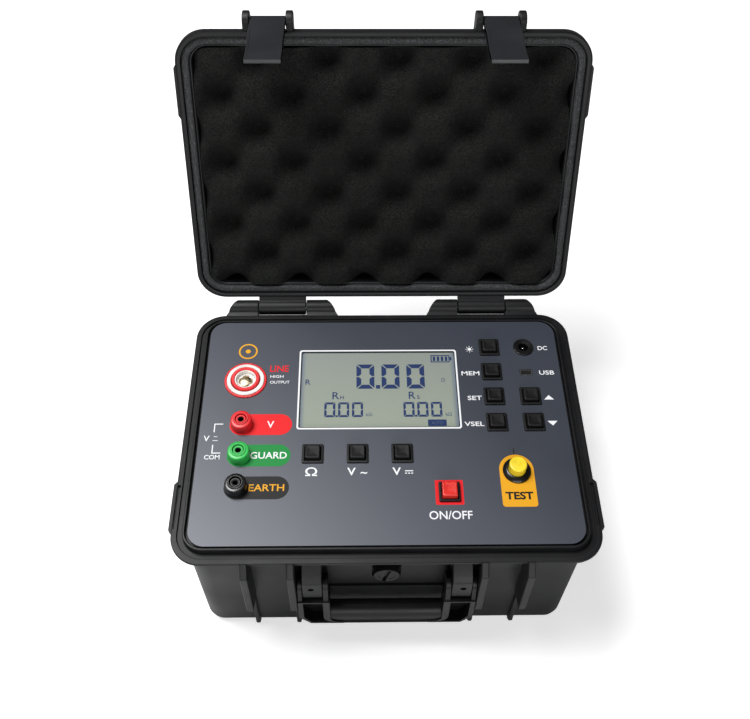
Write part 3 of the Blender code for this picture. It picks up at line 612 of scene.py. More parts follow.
def tub():
    """The moulded tub: outside wall up to the flange, over the rim and down the inside."""
    seat = PANEL_TOP - 3.3
    sections = (
        (0.0, 116.0, 80.5, 7.0),
        (0.9, 119.4, 84.2, 9.5),
        (3.4, 121.9, 86.6, 11.5),
        (7.0, 122.8, 87.5, 12.5),
        (103.8, 125.2, 88.6, 14.0),
        (105.4, 125.7, 89.1, 14.4),
        (106.6, 126.8, 90.2, 15.2),
        (107.5, 128.4, 91.8, 16.2),
        (FLANGE_UNDER, 130.2, 93.6, 17.6),
        rim(FLANGE_UNDER + 0.2, 1.2, 18.8),
        rim(FLANGE_UNDER + 0.9, 0.0, RIM_CORNER),
        rim(LEDGE_TOP - 0.8, 0.0, RIM_CORNER),
        rim(LEDGE_TOP - 0.25, 0.25, 19.6),
        rim(LEDGE_TOP, 0.9, 19.0),
        rim(LEDGE_TOP, 3.5, 17.0),
        rim(LEDGE_TOP - 0.4, 3.9, 16.6),
        rim(GROOVE_FLOOR, 4.0, 16.5),
        rim(GROOVE_FLOOR, 7.1, 13.7),
        rim(TONGUE_TOP - 0.8, 7.45, 13.4),
        rim(TONGUE_TOP - 0.2, 7.65, 13.2),
        rim(TONGUE_TOP, 8.0, 12.9),
        rim(TONGUE_TOP, 8.7, 12.2),
        rim(TONGUE_TOP - 0.3, 9.1, 11.8),
        rim(TONGUE_TOP - 1.0, 9.25, 11.7),
        rim(seat, 9.3, 11.6),
        (seat, 120.4, 83.6, 8.5),
        (104.0, 121.2, 84.9, 9.0),
        (6.5, 119.6, 83.9, 9.0),
        (3.2, 117.0, 81.3, 7.0),
    )
    return loft("case_tub", sections)


def front_ribs():
    """Ribs beside the latches: a sloped top at the flange, a straight front and a rounded foot."""
    start_y = -RIM_HALF_Y - 0.3
    slope, half_width = 7.2, 2.3
    profile = [(-90.0, 109.0), (-96.2, 110.2), (start_y, 112.0), (start_y - slope, 112.0 - slope)]
    profile += arc(-100.0, 58.5, 4.0, 180, 270, 8)
    profile += [(-86.6, 49.5), (-86.6, 106.0)]
    return [
        soften(side_prism("front_rib", profile, sign * x - half_width, sign * x + half_width), 0.8)
        for sign in (-1, 1)
        for x in RIB_X
    ]


def wall_runners():
    """Narrow ribs down the front and back walls, each with a foot at the bottom corner."""
    foot = [(90.6, 4.0), (88.0, 0.0), (80.8, 0.0), (82.0, 1.6), (85.6, 5.5)]
    back = [(86.2, 107.0), (91.6, 107.0)] + foot
    front = [(-y, z) for y, z in [(86.0, 54.0), (91.0, 54.0)] + foot]
    half_width = 1.5
    return [
        soften(side_prism("wall_runner", outline, sign * x - half_width, sign * x + half_width), 0.9)
        for sign in (-1, 1)
        for x in RIB_X
        for outline in (front, back)
    ]


def slanted(obj, end_x, slope):
    """Leans the end face of a bar along X: a corner further out in Y moves further along X."""
    for vertex in obj.data.vertices:
        if abs(vertex.co.x - end_x * MM) < 0.1 * MM:
            vertex.co.x += slope * (vertex.co.y - RIM_HALF_Y * MM)
    return obj


def hinge_outline(for_lid):
    """Side view of a hinge knuckle and the arm that ties it to a flange."""
    y, z = HINGE.y, HINGE.z
    if for_lid:
        return [(94.0, 112.6), (94.0, 118.6)] + arc(y, z, KNUCKLE_RADIUS, 100, -175, 30)
    wall = [(87.9, 101.2), (87.9, 108.6), (94.6, 109.6)]
    return wall + arc(y, z, KNUCKLE_RADIUS, 165, -60, 26) + [(102.5, 101.2)]


def base_hinges():
    """Two pairs of knuckles whose free ends slope back to the flange, and the webs between them."""
    arms = []
    first, second, _, _, third, fourth = KNUCKLE_ENDS
    web = [(87.9, 101.5), (102.3, 101.5), (102.3, 104.2), (87.9, 104.2)]
    for sign in (-1, 1):
        for free_end, other_end, way in ((first, second, -1), (fourth, third, 1)):
            arm = side_prism("hinge_knuckle", hinge_outline(False), sign * free_end, sign * other_end)
            slanted(arm, sign * free_end, -0.7 * sign * way)
            arms.append(soften(arm, 0.5, 3, 35.0))
        arms.append(soften(side_prism("hinge_web", web, sign * (second - 1.0), sign * (third + 1.0)), 0.4))
    return arms


def strap_lugs(proud, z_low, z_high):
    """Low lugs along the flange's sides with sloped ends."""
    x = RIM_HALF_X
    right = [(x - 0.35, -75.4), (x + 0.1, -75.4), (x + proud, -73.4), (x + proud, -41.8)]
    right += [(x + 0.1, -39.8), (x - 0.35, -39.8)]
    lugs = []
    for sign in (-1, 1):
        lug = prism("strap_lug", [(sign * a, b) for a, b in right], z_low, z_high)
        lugs.append(soften(lug, 0.3))
    return lugs


def handle_brackets():
    """Blocks that carry the handle, rounded below, each with a screw hole in its front."""
    y, z = HANDLE_PIVOT.y, HANDLE_PIVOT.z
    outline = [(-86.8, 70.2)] + arc(y, z, 10.3, 270, 231, 8)
    outline += [(-101.5, 91.0), (-98.0, 95.5), (-86.8, 104.0)]
    low, high = BRACKET_SPAN
    middle = (low + high) / 2
    blocks = []
    for sign in (-1, 1):
        block = soften(side_prism("handle_bracket", outline, sign * low, sign * high), 0.6)
        cut(block, rod(1.9, 96.0, 103.0, (sign * (middle + 0.7), 0.0, 84.0), 24, "-Y"))
        bore = rod(2.3, -8.0, 8.0, (0.0, 0.0, 0.0))
        bore.data.transform(moved((sign * middle, y, z)) @ Matrix.Rotation(math.radians(90), 4, "Y"))
        cut(block, bore)
        blocks.append(block)
    return blocks


def make_base():
    """The tub with its openings, the boss round the valve, and the details moulded on."""
    body = tub()
    recess = rounded_rectangle(40.2, 24.0, 3.0, (0.0, 83.0), 6)
    cut(body, prism("recess", recess, 86.5, 95.0, "XZ"))
    for side in (-1, 1):
        slot = rounded_rectangle(1.2, 15.3, 0.9, (side * (RIM_HALF_X - 1.6), -57.7), 4)
        cut(body, prism("slot", slot, FLANGE_UNDER + 0.5, LID_TOP))
    boss = prism("valve_boss", rounded_rectangle(22.0, 16.0, 1.0, (0.0, 80.0), 4), 79.0, 85.4, "XZ")
    pocket = rounded_rectangle(9.2, 9.2, 1.2, (0.0, VALVE_Z), 6)
    for piece in (body, boss):
        cut(piece, prism("pocket", pocket, 83.8, 92.0, "XZ"))
        cut(piece, rod(5.6, 70.0, 90.0, (0.0, 0.0, VALVE_Z), 32, "-Y"))
    show(body, "base", "case_moulding", ("base_shell",))
    show(boss, "base", "case_moulding")
    lugs = strap_lugs(1.9, 106.5, LEDGE_TOP - 0.3)
    for group in (front_ribs(), wall_runners(), base_hinges(), handle_brackets(), lugs):
        show_group(group, "base")


# ---- lid


def lid_shell():
    """The lid shut: outside from its top down to the rim, gasket groove, ridge and inside."""
    groove_top = LID_RIM + 5.9
    ridge = TONGUE_TOP + 0.4
    sections = (
        (LID_TOP, 117.0, 80.5, 8.0),
        (LID_TOP - 0.3, 120.0, 83.5, 10.2),
        (LID_TOP - 1.2, 122.2, 85.7, 11.8),
        (LID_TOP - 3.0, 123.6, 87.1, 12.8),
        (LID_TOP - 6.5, 124.5, 88.0, 13.5),
        (122.4, 126.3, 89.8, 14.4),
        (120.8, 126.9, 90.4, 14.8),
        (119.8, 128.2, 91.7, 15.7),
        (119.4, 130.0, 93.5, 17.4),
        rim(119.2, 0.8, 19.0),
        rim(118.5, 0.0, RIM_CORNER),
        rim(LID_RIM + 1.2, 0.0, RIM_CORNER),
        rim(LID_RIM + 0.35, 0.35, 19.5),
        rim(LID_RIM, 1.1, 18.9),
        rim(LID_RIM, 2.6, 17.8),
        rim(LID_RIM + 0.4, 3.4, 17.1),
        rim(groove_top, 3.6, 16.8),
        rim(groove_top, 8.6, 12.3),
        rim(ridge + 0.5, 8.7, 12.2),
        rim(ridge, 9.0, 11.9),
        rim(ridge, 9.7, 11.2),
        rim(ridge + 0.5, 10.2, 10.8),
        (LID_TOP - 3.3, 121.2, 84.7, 9.5),
    )
    return loft("lid_cover", sections)


def latch_ears():
    """Pairs of ears on the lid's front wall, each rounded about the latch's pivot."""
    outline = [(-94.5, 112.9)]
    outline += arc(*LATCH_PIVOT, 6.3, 270, 90, 22)
    outline += [(-93.0, 127.0), (-88.5, 127.0), (-88.5, 118.2), (-94.5, 118.2)]
    gap, thick = 0.3, 4.6
    ears = []
    for sign in (-1, 1):
        for side in (-1, 1):
            near = sign * LATCH_X + side * (LATCH_HALF_WIDTH + gap)
            ears.append(soften(side_prism("latch_ear", outline, near, near + side * thick), 0.8))
    return ears


def lid_hinges():
    """One knuckle a side, between those of the base."""
    near, far = KNUCKLE_ENDS[2:4]
    outline = hinge_outline(True)
    knuckles = [side_prism("knuckle", outline, sign * near, sign * far) for sign in (-1, 1)]
    return [soften(knuckle, 0.5, 3, 35.0) for knuckle in knuckles]


def make_lid():
    """The lid's shell with a shallow panel in its top, and the details moulded on."""
    cover = lid_shell()
    top_panel = ((LID_TOP - 0.8, 96.0, 60.0, 8.0), (LID_TOP + 4.0, 97.5, 61.5, 9.0))
    cut(cover, loft("recess", top_panel, 8))
    show(open_up(cover), "lid", "case_moulding", ("lid_shell",))
    for group in (latch_ears(), lid_hinges(), strap_lugs(1.3, LID_RIM + 0.4, 118.0)):
        show_group([open_up(piece) for piece in group], "lid")


def squash_shut(piece):
    """Gives a soft piece of the lid its own copy of its mesh."""
    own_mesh(piece)


def make_gasket():
    """Sponge cord bedded in the lid's groove, its crown a little below the lid's lip."""
    outer = RIM_HALF_X - 3.65
    drop = RIM_HALF_X - RIM_HALF_Y
    width = 4.85
    bed = LID_RIM + 5.8
    sections = []
    for share in (0.0, 0.06, 0.16, 0.32, 0.5, 0.68, 0.84, 0.94, 1.0):
        inset = outer - width * share
        crown = LID_RIM + 1.5 + 1.1 * (2 * share - 1) ** 4
        sections.append((crown, inset, inset - drop, 16.7 - 0.9 * width * share))
    sections.append((bed, outer - width, outer - width - drop, 12.3))
    sections.append((bed, outer, outer - drop, 16.7))
    gasket = open_up(loft("lid_gasket", sections, ring=True))
    show(gasket, "lid", "gasket_sponge", ("lid_seal",), smooth_deg=60.0)
    squash_shut(gasket)


def foam_depth(x, y):
    """How far the egg-crate face lies below its peaks at a place on the pad."""
    u = math.cos(math.pi * (x - FOAM_PHASE[0]) / FOAM_PITCH_X)
    v = math.cos(math.pi * (y - FOAM_PHASE[1]) / FOAM_PITCH_Y)
    pit = (0.5 + 0.5 * u * v) ** 2.6
    drift = noise.noise(Vector((x * 0.035, y * 0.035, 3.1))) * 0.9
    rough = noise.noise(Vector((x * 0.55, y * 0.55, 7.7))) * 0.16
    return FOAM_DEPTH * pit + drift * (1.0 - pit) + rough


def pad_place(a, b, half_x, half_y, radius):
    """Maps a point of the square -1..1 to the pad's rounded rectangle."""
    x, y = a * half_x, b * half_y
    over_x = (abs(x) - (half_x - radius)) / radius
    over_y = (abs(y) - (half_y - radius)) / radius
    if over_x > 0.0 and over_y > 0.0:
        bent_x = over_x * math.sqrt(1.0 - over_y * over_y / 2)
        bent_y = over_y * math.sqrt(1.0 - over_x * over_x / 2)
        x = math.copysign(half_x - radius + bent_x * radius, x)
        y = math.copysign(half_y - radius + bent_y * radius, y)
    return x, y


def make_foam():
    """A cut block of convoluted foam, with pits and rounded peaks in staggered rows."""
    inset, corner = 10.6, 10.2
    half_x, half_y = RIM_HALF_X - inset, RIM_HALF_Y - inset
    back_z = LID_TOP - 3.6
    columns, rows = 182, 128
    shape = bmesh.new()
    grid = []
    for j in range(rows + 1):
        line = []
        for i in range(columns + 1):
            x, y = pad_place(2 * i / columns - 1, 2 * j / rows - 1, half_x, half_y, corner)
            line.append(shape.verts.new((x * MM, y * MM, (FOAM_FACE + foam_depth(x, y)) * MM)))
        grid.append(line)
    skin(shape, grid, closed_ring=False)
    border = grid[0][:-1] + [line[-1] for line in grid[:-1]]
    border += grid[-1][:0:-1] + [line[0] for line in grid[:0:-1]]
    back = [shape.verts.new((vert.co.x * 0.99, vert.co.y * 0.99, back_z * MM)) for vert in border]
    skin(shape, [border, back])
    shape.faces.new(back)
    foam = open_up(from_bmesh("lid_foam_pad", shape))
    show(foam, "lid", "foam_open_cell", ("lid_foam",), smooth_deg=70.0)
    squash_shut(foam)


# ---- latches, handle, valve


def latch_frame(sign):
    """From a latch's own axes, pivot at the origin, to its place on the open lid."""
    place = moved((sign * LATCH_X, *LATCH_PIVOT))
    return OPEN_LID @ place @ Matrix.Rotation(math.radians(LATCH_LEAN_DEG), 4, "X")


def make_latches():
    """Draw latches: a bent lever between raised borders, with a hook and a barrel round its pivot."""
    barrel = arc(0.0, 0.0, 3.0, -60, 175, 22)
    outside = [(-4.2, -19.0), (-3.6, -38.5), (-5.6, -51.5)]
    inside = [(-3.2, -52.3), (-0.8, -39.0), (-0.9, -15.5)]
    hook = [(1.9, -15.6), (3.6, -13.4), (4.2, -11.5), (1.8, -10.8)]
    cheek = [(-4.5, -18.0), (-3.9, -38.5), (-5.2, -49.5), (-2.6, -49.5)]
    cheek += [(0.8, -38.5), (2.4, -20.0), (2.4, -12.0), (-2.0, -8.0)]
    half, wall_thick = LATCH_HALF_WIDTH, 1.8
    for side, sign in (("left", -1), ("right", 1)):
        spine = soften(side_prism("spine", barrel + outside + inside + hook, -half, half), 0.35, 2, 20.0)
        walls = [
            soften(side_prism("wall", cheek, end * half, end * (half - wall_thick)), 0.4, 2, 20.0)
            for end in (-1, 1)
        ]
        latch = join(f"latch_{side}_lever", [spine] + walls)
        latch.data.transform(latch_frame(sign))
        show(latch, f"latch_{side}", "latch_moulding", (f"latch_{side}",))


def handle_arm():
    """The right arm: a channel open to the front, its inner wall sweeping into the grip's lip."""
    half, inner = HANDLE_HALF_X, HANDLE_HALF_X - 20.1
    outline = [(half, 69.8), (inner, 69.8)]
    outline += arc(inner - 5.5, 44.0, 5.5, 0, -80, 8)
    outline += [(inner - 9.0, 38.2), (inner - 9.0, 36.5), (half - 7.3, 36.5), (half, 46.0)]
    arm = prism("arm", outline, 92.0, 104.0, "XZ")
    hollow = [(half - 3.2, 68.4), (inner + 4.4, 68.4)]
    hollow += arc(inner - 3.6, 46.2, 8.0, 0, -75, 8)
    hollow += [(half - 7.9, 38.2), (half - 3.2, 46.4)]
    cut(arm, prism("hollow", hollow, 96.0, 107.0, "XZ"))
    return soften(arm, 0.5, 2, 30.0)


def handle_cheeks():
    """Plates either side of the right bracket, rounded about the pivot."""
    y, z = HANDLE_PIVOT.y, HANDLE_PIVOT.z
    outline = [(-103.4, 69.0)] + arc(y, z, 6.3, 190, -15, 22) + [(-92.6, 69.0)]
    low, high = BRACKET_SPAN
    gap, thick = 0.3, 3.4
    return [
        soften(side_prism("cheek", outline, *ends), 0.5)
        for ends in ((low - gap - thick, low - gap), (high + gap, HANDLE_HALF_X))
    ]


def handle_grip():
    """The bar between the arms: rounded over the top, with a lip along its bottom front edge."""
    reach = HANDLE_HALF_X - 19.5
    section = [(-92.0, 37.2), (-92.0, 47.8)]
    section += arc(-94.0, 47.8, 2.0, 0, 90, 4)
    section += arc(-95.4, 42.2, 7.6, 95, 180, 12)
    section += [(-103.0, 38.3), (-104.0, 38.0), (-104.0, 36.9), (-103.6, 36.5), (-92.7, 36.5)]
    return soften(side_prism("grip", section, -reach, reach), 0.3, 2, 35.0)


def make_handle():
    """The grip, then the right arm with its cheeks, then their mirror images."""
    right = [handle_arm()] + handle_cheeks()
    left = [mirrored(piece) for piece in right]
    for i, piece in enumerate([handle_grip()] + right + left):
        piece.name = f"carry_handle_{i + 1}"
        stands_for = () if i else ("handle",)
        show(piece, "handle", "handle_black", stands_for)


def make_valve():
    """A relief valve in the front wall: a flange and a round knob with a coin slot."""
    place = (0.0, 0.0, VALVE_Z)
    head = ((0.0, 90.2), (5.2, 90.2), (5.6, 90.6), (7.4, 90.8), (8.1, 90.5), (8.4, 89.8))
    stem = ((8.4, 86.2), (3.0, 86.2), (3.0, 78.0), (0.0, 78.0))
    knob = lathe("relief_knob", head + stem, place, along="-Y")
    slot = prism("slot", rounded_rectangle(1.2, 7.4, 0.5, steps=4), 88.6, 93.0, "XZ")
    slot.data.transform(moved(place) @ Matrix.Rotation(math.radians(14.0), 4, "Y"))
    cut(knob, slot)
    show(knob, "valve_knob", "case_moulding", ("valve_knob",))
    paint(frame["nodes"]["valve_body"], "key_moulding")


# ---- panel and controls


def panel_holes():
    """Openings of the panel: the window, then square, round and slot-shaped ones."""
    low, high = span("display_window")
    reach = (high - low) / 2
    holes = [rounded_rectangle(reach.x + 0.3, reach.y + 0.3, 1.5, centre("display_window").xy, 6)]
    squares = [(f"{key}_key_cap", 6.3) for key in KEYS] + [("power_button_cap", 6.1)]
    holes += [rounded_rectangle(half, half, 0.8, centre(node).xy, 3) for node, half in squares]
    rounds = [("test_button_cap", 7.9), ("line_terminal_body", 11.8), ("dc_jack_body", 5.8)]
    rounds += [(f"{jack}_jack_body", 5.8) for jack in ("volt", "guard", "earth")]
    holes += [circle(radius, centre(node).xy) for node, radius in rounds]
    holes.append(rounded_rectangle(4.4, 2.6, 0.8, centre("usb_socket").xy, 3))
    return holes


def make_panel():
    """The instrument panel's plate, with all its openings."""
    outline = rounded_rectangle(PANEL_HALF_X, PANEL_HALF_Y, 10.9)
    panel = plate("instrument_panel", outline, panel_holes(), PANEL_TOP - 3.0, PANEL_TOP)
    return show(panel, "base", "panel_film", ("panel_plate",))


def print_z(level=0):
    """The underside of a print on the panel; a higher level lies on top of a lower one."""
    return PANEL_TOP + PRINT_GAP + level * PRINT_THICK


def printed(name, outline, material=WHITE, holes=()):
    return show(plate(name, outline, holes, print_z(), print_z(1)), "base", material)


def label(name, text, place, height, material=WHITE, width=None, weight=0.0, z=None):
    """Printed characters, centred on place, with capitals of that height and the given width."""
    curve = bpy.data.curves.new(name, "FONT")
    curve.body = text
    curve.align_x = "CENTER"
    curve.size = height / CAPITAL_SHARE * MM
    curve.offset = weight * MM
    curve.extrude = PRINT_THICK / 2 * MM
    curve.resolution_u = 4
    made = from_curve(name, curve, (print_z() if z is None else z) + PRINT_THICK / 2)
    xs = [vertex.co.x for vertex in made.data.vertices]
    ys = [vertex.co.y for vertex in made.data.vertices]
    stretch = width * MM / (max(xs) - min(xs)) if width else 1.0
    middle_x, middle_y = (max(xs) + min(xs)) / 2, (max(ys) + min(ys)) / 2
    for vertex in made.data.vertices:
        vertex.co.x = (vertex.co.x - middle_x) * stretch + place[0] * MM
        vertex.co.y = vertex.co.y - middle_y + place[1] * MM
    return show(made, "base", material, smooth_deg=10.0)


def beside(node, dx, dy):
    """A place on the panel, measured from the middle of a CAD node."""
    x, y = centre(node).xy
    return x + dx, y + dy


def make_words():
    """Plain lettering, each word placed from the control that it names."""
    words = (
        ("line_label", "LINE", "line_terminal_body", (22.6, 10.0), 5.6, "print_red", 13.0, 0.10),
        ("line_kind_label", "HIGH", "line_terminal_body", (21.2, 3.4), 2.3, WHITE, 9.0, 0.02),
        ("line_range_label", "OUTPUT", "line_terminal_body", (23.4, -1.4), 2.3, WHITE, 13.4, 0.02),
        ("memory_label", "MEM", "memory_key_cap", (-14.6, -1.0), 3.5, WHITE, 12.4, 0.06),
        ("set_label", "SET", "set_key_cap", (-13.2, -1.0), 3.5, WHITE, 9.6, 0.06),
        ("voltage_select_label", "VSEL", "voltage_select_key_cap", (-15.0, -1.0), 3.5, WHITE, 13.2, 0.06),
        ("ohm_label", "Ω", "ohm_key_cap", (-0.6, -12.9), 6.0, WHITE, 7.6, 0.10),
        ("ac_voltage_label", "V", "ac_voltage_key_cap", (-3.9, -13.0), 5.6, WHITE, 5.4, 0.12),
        ("ac_wave", "~", "ac_voltage_key_cap", (4.0, -14.0), 5.4, WHITE, 4.2, 0.10),
        ("dc_voltage_label", "V", "dc_voltage_key_cap", (-3.9, -13.0), 5.6, WHITE, 5.4, 0.12),
        ("charge_label", "DC", "dc_jack_body", (13.6, -0.4), 3.5, WHITE, 6.6, 0.06),
        ("data_label", "USB", "usb_socket", (14.2, -0.4), 3.5, WHITE, 10.4, 0.06),
        ("power_label", "ON/OFF", "power_button_cap", (0.0, -15.7), 5.8, WHITE, 26.8, 0.08),
    )
    for name, text, node, away, *look in words:
        label(name, text, beside(node, *away), *look)


def make_socket_labels():
    """Coloured capsules beside the sockets, with what each is for."""
    socket_x = centre("volt_jack_body").x
    rows = (
        ("volt", "V", 5.4, 4.6, "print_red", WHITE),
        ("guard", "GUARD", 5.0, 23.6, "print_green", WHITE),
        ("earth", "EARTH", 5.0, 22.4, "print_black", "print_amber"),
    )
    for jack, text, height, width, ground, ink in rows:
        y = centre(f"{jack}_jack_body").y
        outline = rounded_rectangle(20.6, 8.1, 8.1, (socket_x + 12.6, y), 16)
        printed(f"{jack}_patch", outline, ground, [circle(6.2, (socket_x, y))])
        label(f"{jack}_label", text, (socket_x + 19.0, y), height, ink, width, 0.08, print_z(1))


def make_range_bracket():
    """A broken bracket that ties the upper two sockets to the voltage they measure."""
    left = centre("volt_jack_body").x - 18.1
    high = centre("volt_jack_body").y
    low = centre("guard_jack_body").y
    middle = (high + low) / 2
    stroke = 0.7
    for name, y, way in (("upper_bracket", high + 0.9, -1), ("lower_bracket", low + 1.6, 1)):
        inner_y, end_y = y + way * stroke, y + way * 6.6
        outline = [(left, y), (left + 5.8, y), (left + 5.8, inner_y), (left + stroke, inner_y)]
        printed(name, outline + [(left + stroke, end_y), (left, end_y)])
    label("volt_range_label", "V", (left - 4.2, middle + 1.2), 4.4, weight=0.06)
    label("ac_mark", "~", (left + 1.6, middle + 2.6), 3.2)
    printed("dc_mark", rounded_rectangle(1.7, 0.2, 0.2, (left + 1.6, middle - 0.4), 2))
    label("common_label", "COM", (left + 0.6, low - 1.1), 3.3, width=10.0, weight=0.06)


def make_sun_mark():
    """The backlight's sign: a disc with eight tapered rays."""
    sun = beside("backlight_key_cap", -13.8, -1.2)
    printed("sun_disc", circle(1.25, sun, 24))
    for i in range(8):
        angle = math.radians(45 * i)
        along = Vector((math.cos(angle), math.sin(angle)))
        across = Vector((-along.y, along.x)) * 0.22
        start, end = Vector(sun) + along * 1.7, Vector(sun) + along * 2.9
        ray = [start - across, end - across * 0.5, end + across * 0.5, start + across]
        printed(f"sun_ray_{i + 1}", ray)


def make_key_marks():
    """Arrows beside the up and down keys, and the direct-voltage sign of a bar over three dashes."""
    for key, way in (("up", 1), ("down", -1)):
        x, y = beside(f"{key}_key_cap", 12.5, -0.8)
        base, tip = y - way * 1.8, y + way * 1.8
        printed(f"{key}_arrow", [(x - 3.3, base), (x + 3.3, base), (x, tip)])
    x, y = beside("dc_voltage_key_cap", 4.0, -12.7)
    printed("dc_bar", rounded_rectangle(2.6, 0.35, 0.1, (x, y), 1))
    for i in range(3):
        printed(f"dc_dash_{i + 1}", rounded_rectangle(0.65, 0.35, 0.1, (x + (i - 1) * 1.95, y - 1.7), 1))


def make_patches():
    """Coloured grounds of the two buttons, and the ring over the LINE terminal."""
    ring = beside("line_terminal_body", 0.0, 25.0)
    printed("amber_ring", circle(6.6, ring, 64), "print_amber", [circle(5.5, ring, 64)])
    printed("amber_dot", circle(1.7, ring, 32), "print_amber")
    x, y = centre("power_button_cap").xy
    ground = rounded_rectangle(8.9, 8.7, 0.8, (x, y + 0.1), 4)
    printed("power_patch", ground, "print_red", [rounded_rectangle(6.3, 6.3, 0.6, (x, y), 3)])
    x, y = centre("test_button_cap").xy
    half, corner, foot = 11.05, 2.0, y - 23.3
    ground = arc(x + half - corner, foot, corner, -90, 0, 6) + arc(x, y + 1.0, half, 0, 180, 32)
    ground += arc(x - half + corner, foot, corner, 180, 270, 6)
    printed("test_patch", ground, "print_amber", [circle(8.1, (x, y))])
    label("test_label", "TEST", (x, y - 17.6), 5.2, "print_black", 17.6, 0.24, print_z(1))
    printed("test_tick", rounded_rectangle(0.3, 2.3, 0.1, (x - 0.4, y + 14.4), 1), "print_black")


# ---- display


def digit_outlines(x, y, width, height, stroke):
    """The six lit segments of a seven-segment nought whose lower left corner is (x, y)."""
    gap = stroke * 0.12
    corner = stroke * 0.22
    outlines = []
    for bottom, way in ((y, 1), (y + height, -1)):
        inner = bottom + way * stroke
        outer_ends = [(x + corner, bottom), (x + width - corner, bottom)]
        outlines.append(outer_ends + [(x + width - stroke - gap, inner), (x + stroke + gap, inner)])
    for left, way in ((x, 1), (x + width, -1)):
        for end, up in ((y, 1), (y + height, -1)):
            middle = end + up * (height / 2 - gap)
            outlines.append([
                (left, end + up * corner),
                (left + way * stroke, end + up * (stroke + gap)),
                (left + way * stroke, middle - up * stroke * 0.5),
                (left + way * stroke * 0.5, middle),
                (left, middle),
            ])
    return outlines


def make_readout(name, x, y, digit_width, height, pitch, stroke, z):
    """Three noughts with a decimal point after the first."""
    parts = []
    for i in range(3):
        for outline in digit_outlines(x + i * pitch, y, digit_width, height, stroke):
            parts.append(prism("bar", outline, z, z + PRINT_THICK))
    dot_x = x + digit_width + (pitch - digit_width) / 2
    dot = rounded_rectangle(stroke * 0.45, stroke * 0.45, stroke * 0.1, (dot_x, y + stroke * 0.45), 2)
    parts.append(prism("dot", dot, z, z + PRINT_THICK))
    show(join(name, parts), "base", "segment_blue", smooth_deg=10.0)


def make_display():
    """The window in its printed border, the cell under it and what the cell shows."""
    low, high = span("display_window")
    middle = (low + high) / 2
    half = (high - low) / 2
    outer, middle_line, inner = [
        rounded_rectangle(half.x + grow, half.y + grow, 0.9 + grow / 2, middle.xy, 6)
        for grow in (1.85, 0.75, 0.3)
    ]
    printed("display_border", outer, WHITE, [middle_line])
    printed("display_shadow_line", middle_line, "print_black", [inner])
    cover = (
        (high.z - 0.7, half.x, half.y, 1.3),
        (high.z - 0.15, half.x, half.y, 1.3),
        (high.z, half.x - 0.15, half.y - 0.15, 1.2),
    )
    window = loft("display_cover", cover, 6, middle=middle.xy)
    show(window, "base", "window_cover", ("display_window",))
    cell_top = high.z - 1.1
    levels = [(z, half.x + 0.2, half.y + 0.2, 1.2) for z in (cell_top - 2.0, cell_top)]
    show(loft("display_cell", levels, 4, middle=middle.xy), "base", "lcd_cell")
    make_reading(middle.x, middle.y, cell_top + PRINT_GAP)


def make_reading(x, y, z):
    """Everything that the cell shows, placed from its middle."""
    make_readout("main_reading", x - 15.1, y + 0.5, 12.3, 20.4, 17.3, 3.3, z)
    make_readout("left_reading", x - 36.7, y - 22.4, 7.4, 11.8, 9.3, 1.6, z)
    make_readout("right_reading", x + 16.5, y - 22.4, 7.4, 11.8, 9.3, 1.6, z)
    marks = (
        ("resistance_mark", "R", (-48.3, 6.2), 4.6, "segment_blue"),
        ("ohm_mark", "Ω", (44.4, 7.6), 2.9, "segment_pale"),
        ("left_mark", "R", (-29.1, -5.1), 6.2, "segment_blue"),
        ("left_index", "H", (-24.9, -6.6), 3.0, "segment_blue"),
        ("right_mark", "R", (22.7, -5.1), 6.2, "segment_blue"),
        ("right_index", "S", (26.9, -6.6), 3.0, "segment_blue"),
        ("left_unit", "kΩ", (-6.6, -20.4), 2.6, "segment_pale"),
        ("right_unit", "kΩ", (46.8, -20.4), 2.6, "segment_pale"),
    )
    for name, text, (dx, dy), height, ink in marks:
        label(name, text, (x + dx, y + dy), height, ink, weight=0.03, z=z)
    auto = (x + 38.7, y - 27.3)
    patch = prism("auto_patch", rounded_rectangle(6.2, 2.6, 0.4, auto, 3), z, z + PRINT_THICK)
    show(patch, "base", "segment_blue")
    label("auto_label", "AUTO", auto, 2.4, "segment_pale", 8.0, 0.02, z + PRINT_THICK)
    make_battery_mark(x + 43.4, y + 25.6, z)


def make_battery_mark(x, y, z):
    """A battery outline with four bars."""
    frame_outline = rounded_rectangle(6.6, 3.1, 0.3, (x, y), 2)
    inner = rounded_rectangle(5.9, 2.4, 0.2, (x, y), 2)
    parts = [plate("case", frame_outline, [inner], z, z + PRINT_THICK)]
    parts.append(prism("nib", rounded_rectangle(0.6, 1.4, 0.2, (x + 7.3, y), 2), z, z + PRINT_THICK))
    for i in range(4):
        bar = rounded_rectangle(0.85, 1.9, 0.1, (x - 4.2 + i * 2.8, y), 1)
        parts.append(prism("bar", bar, z, z + PRINT_THICK))
    show(join("battery_mark", parts), "base", "segment_blue", smooth_deg=10.0)


# ---- keys and buttons


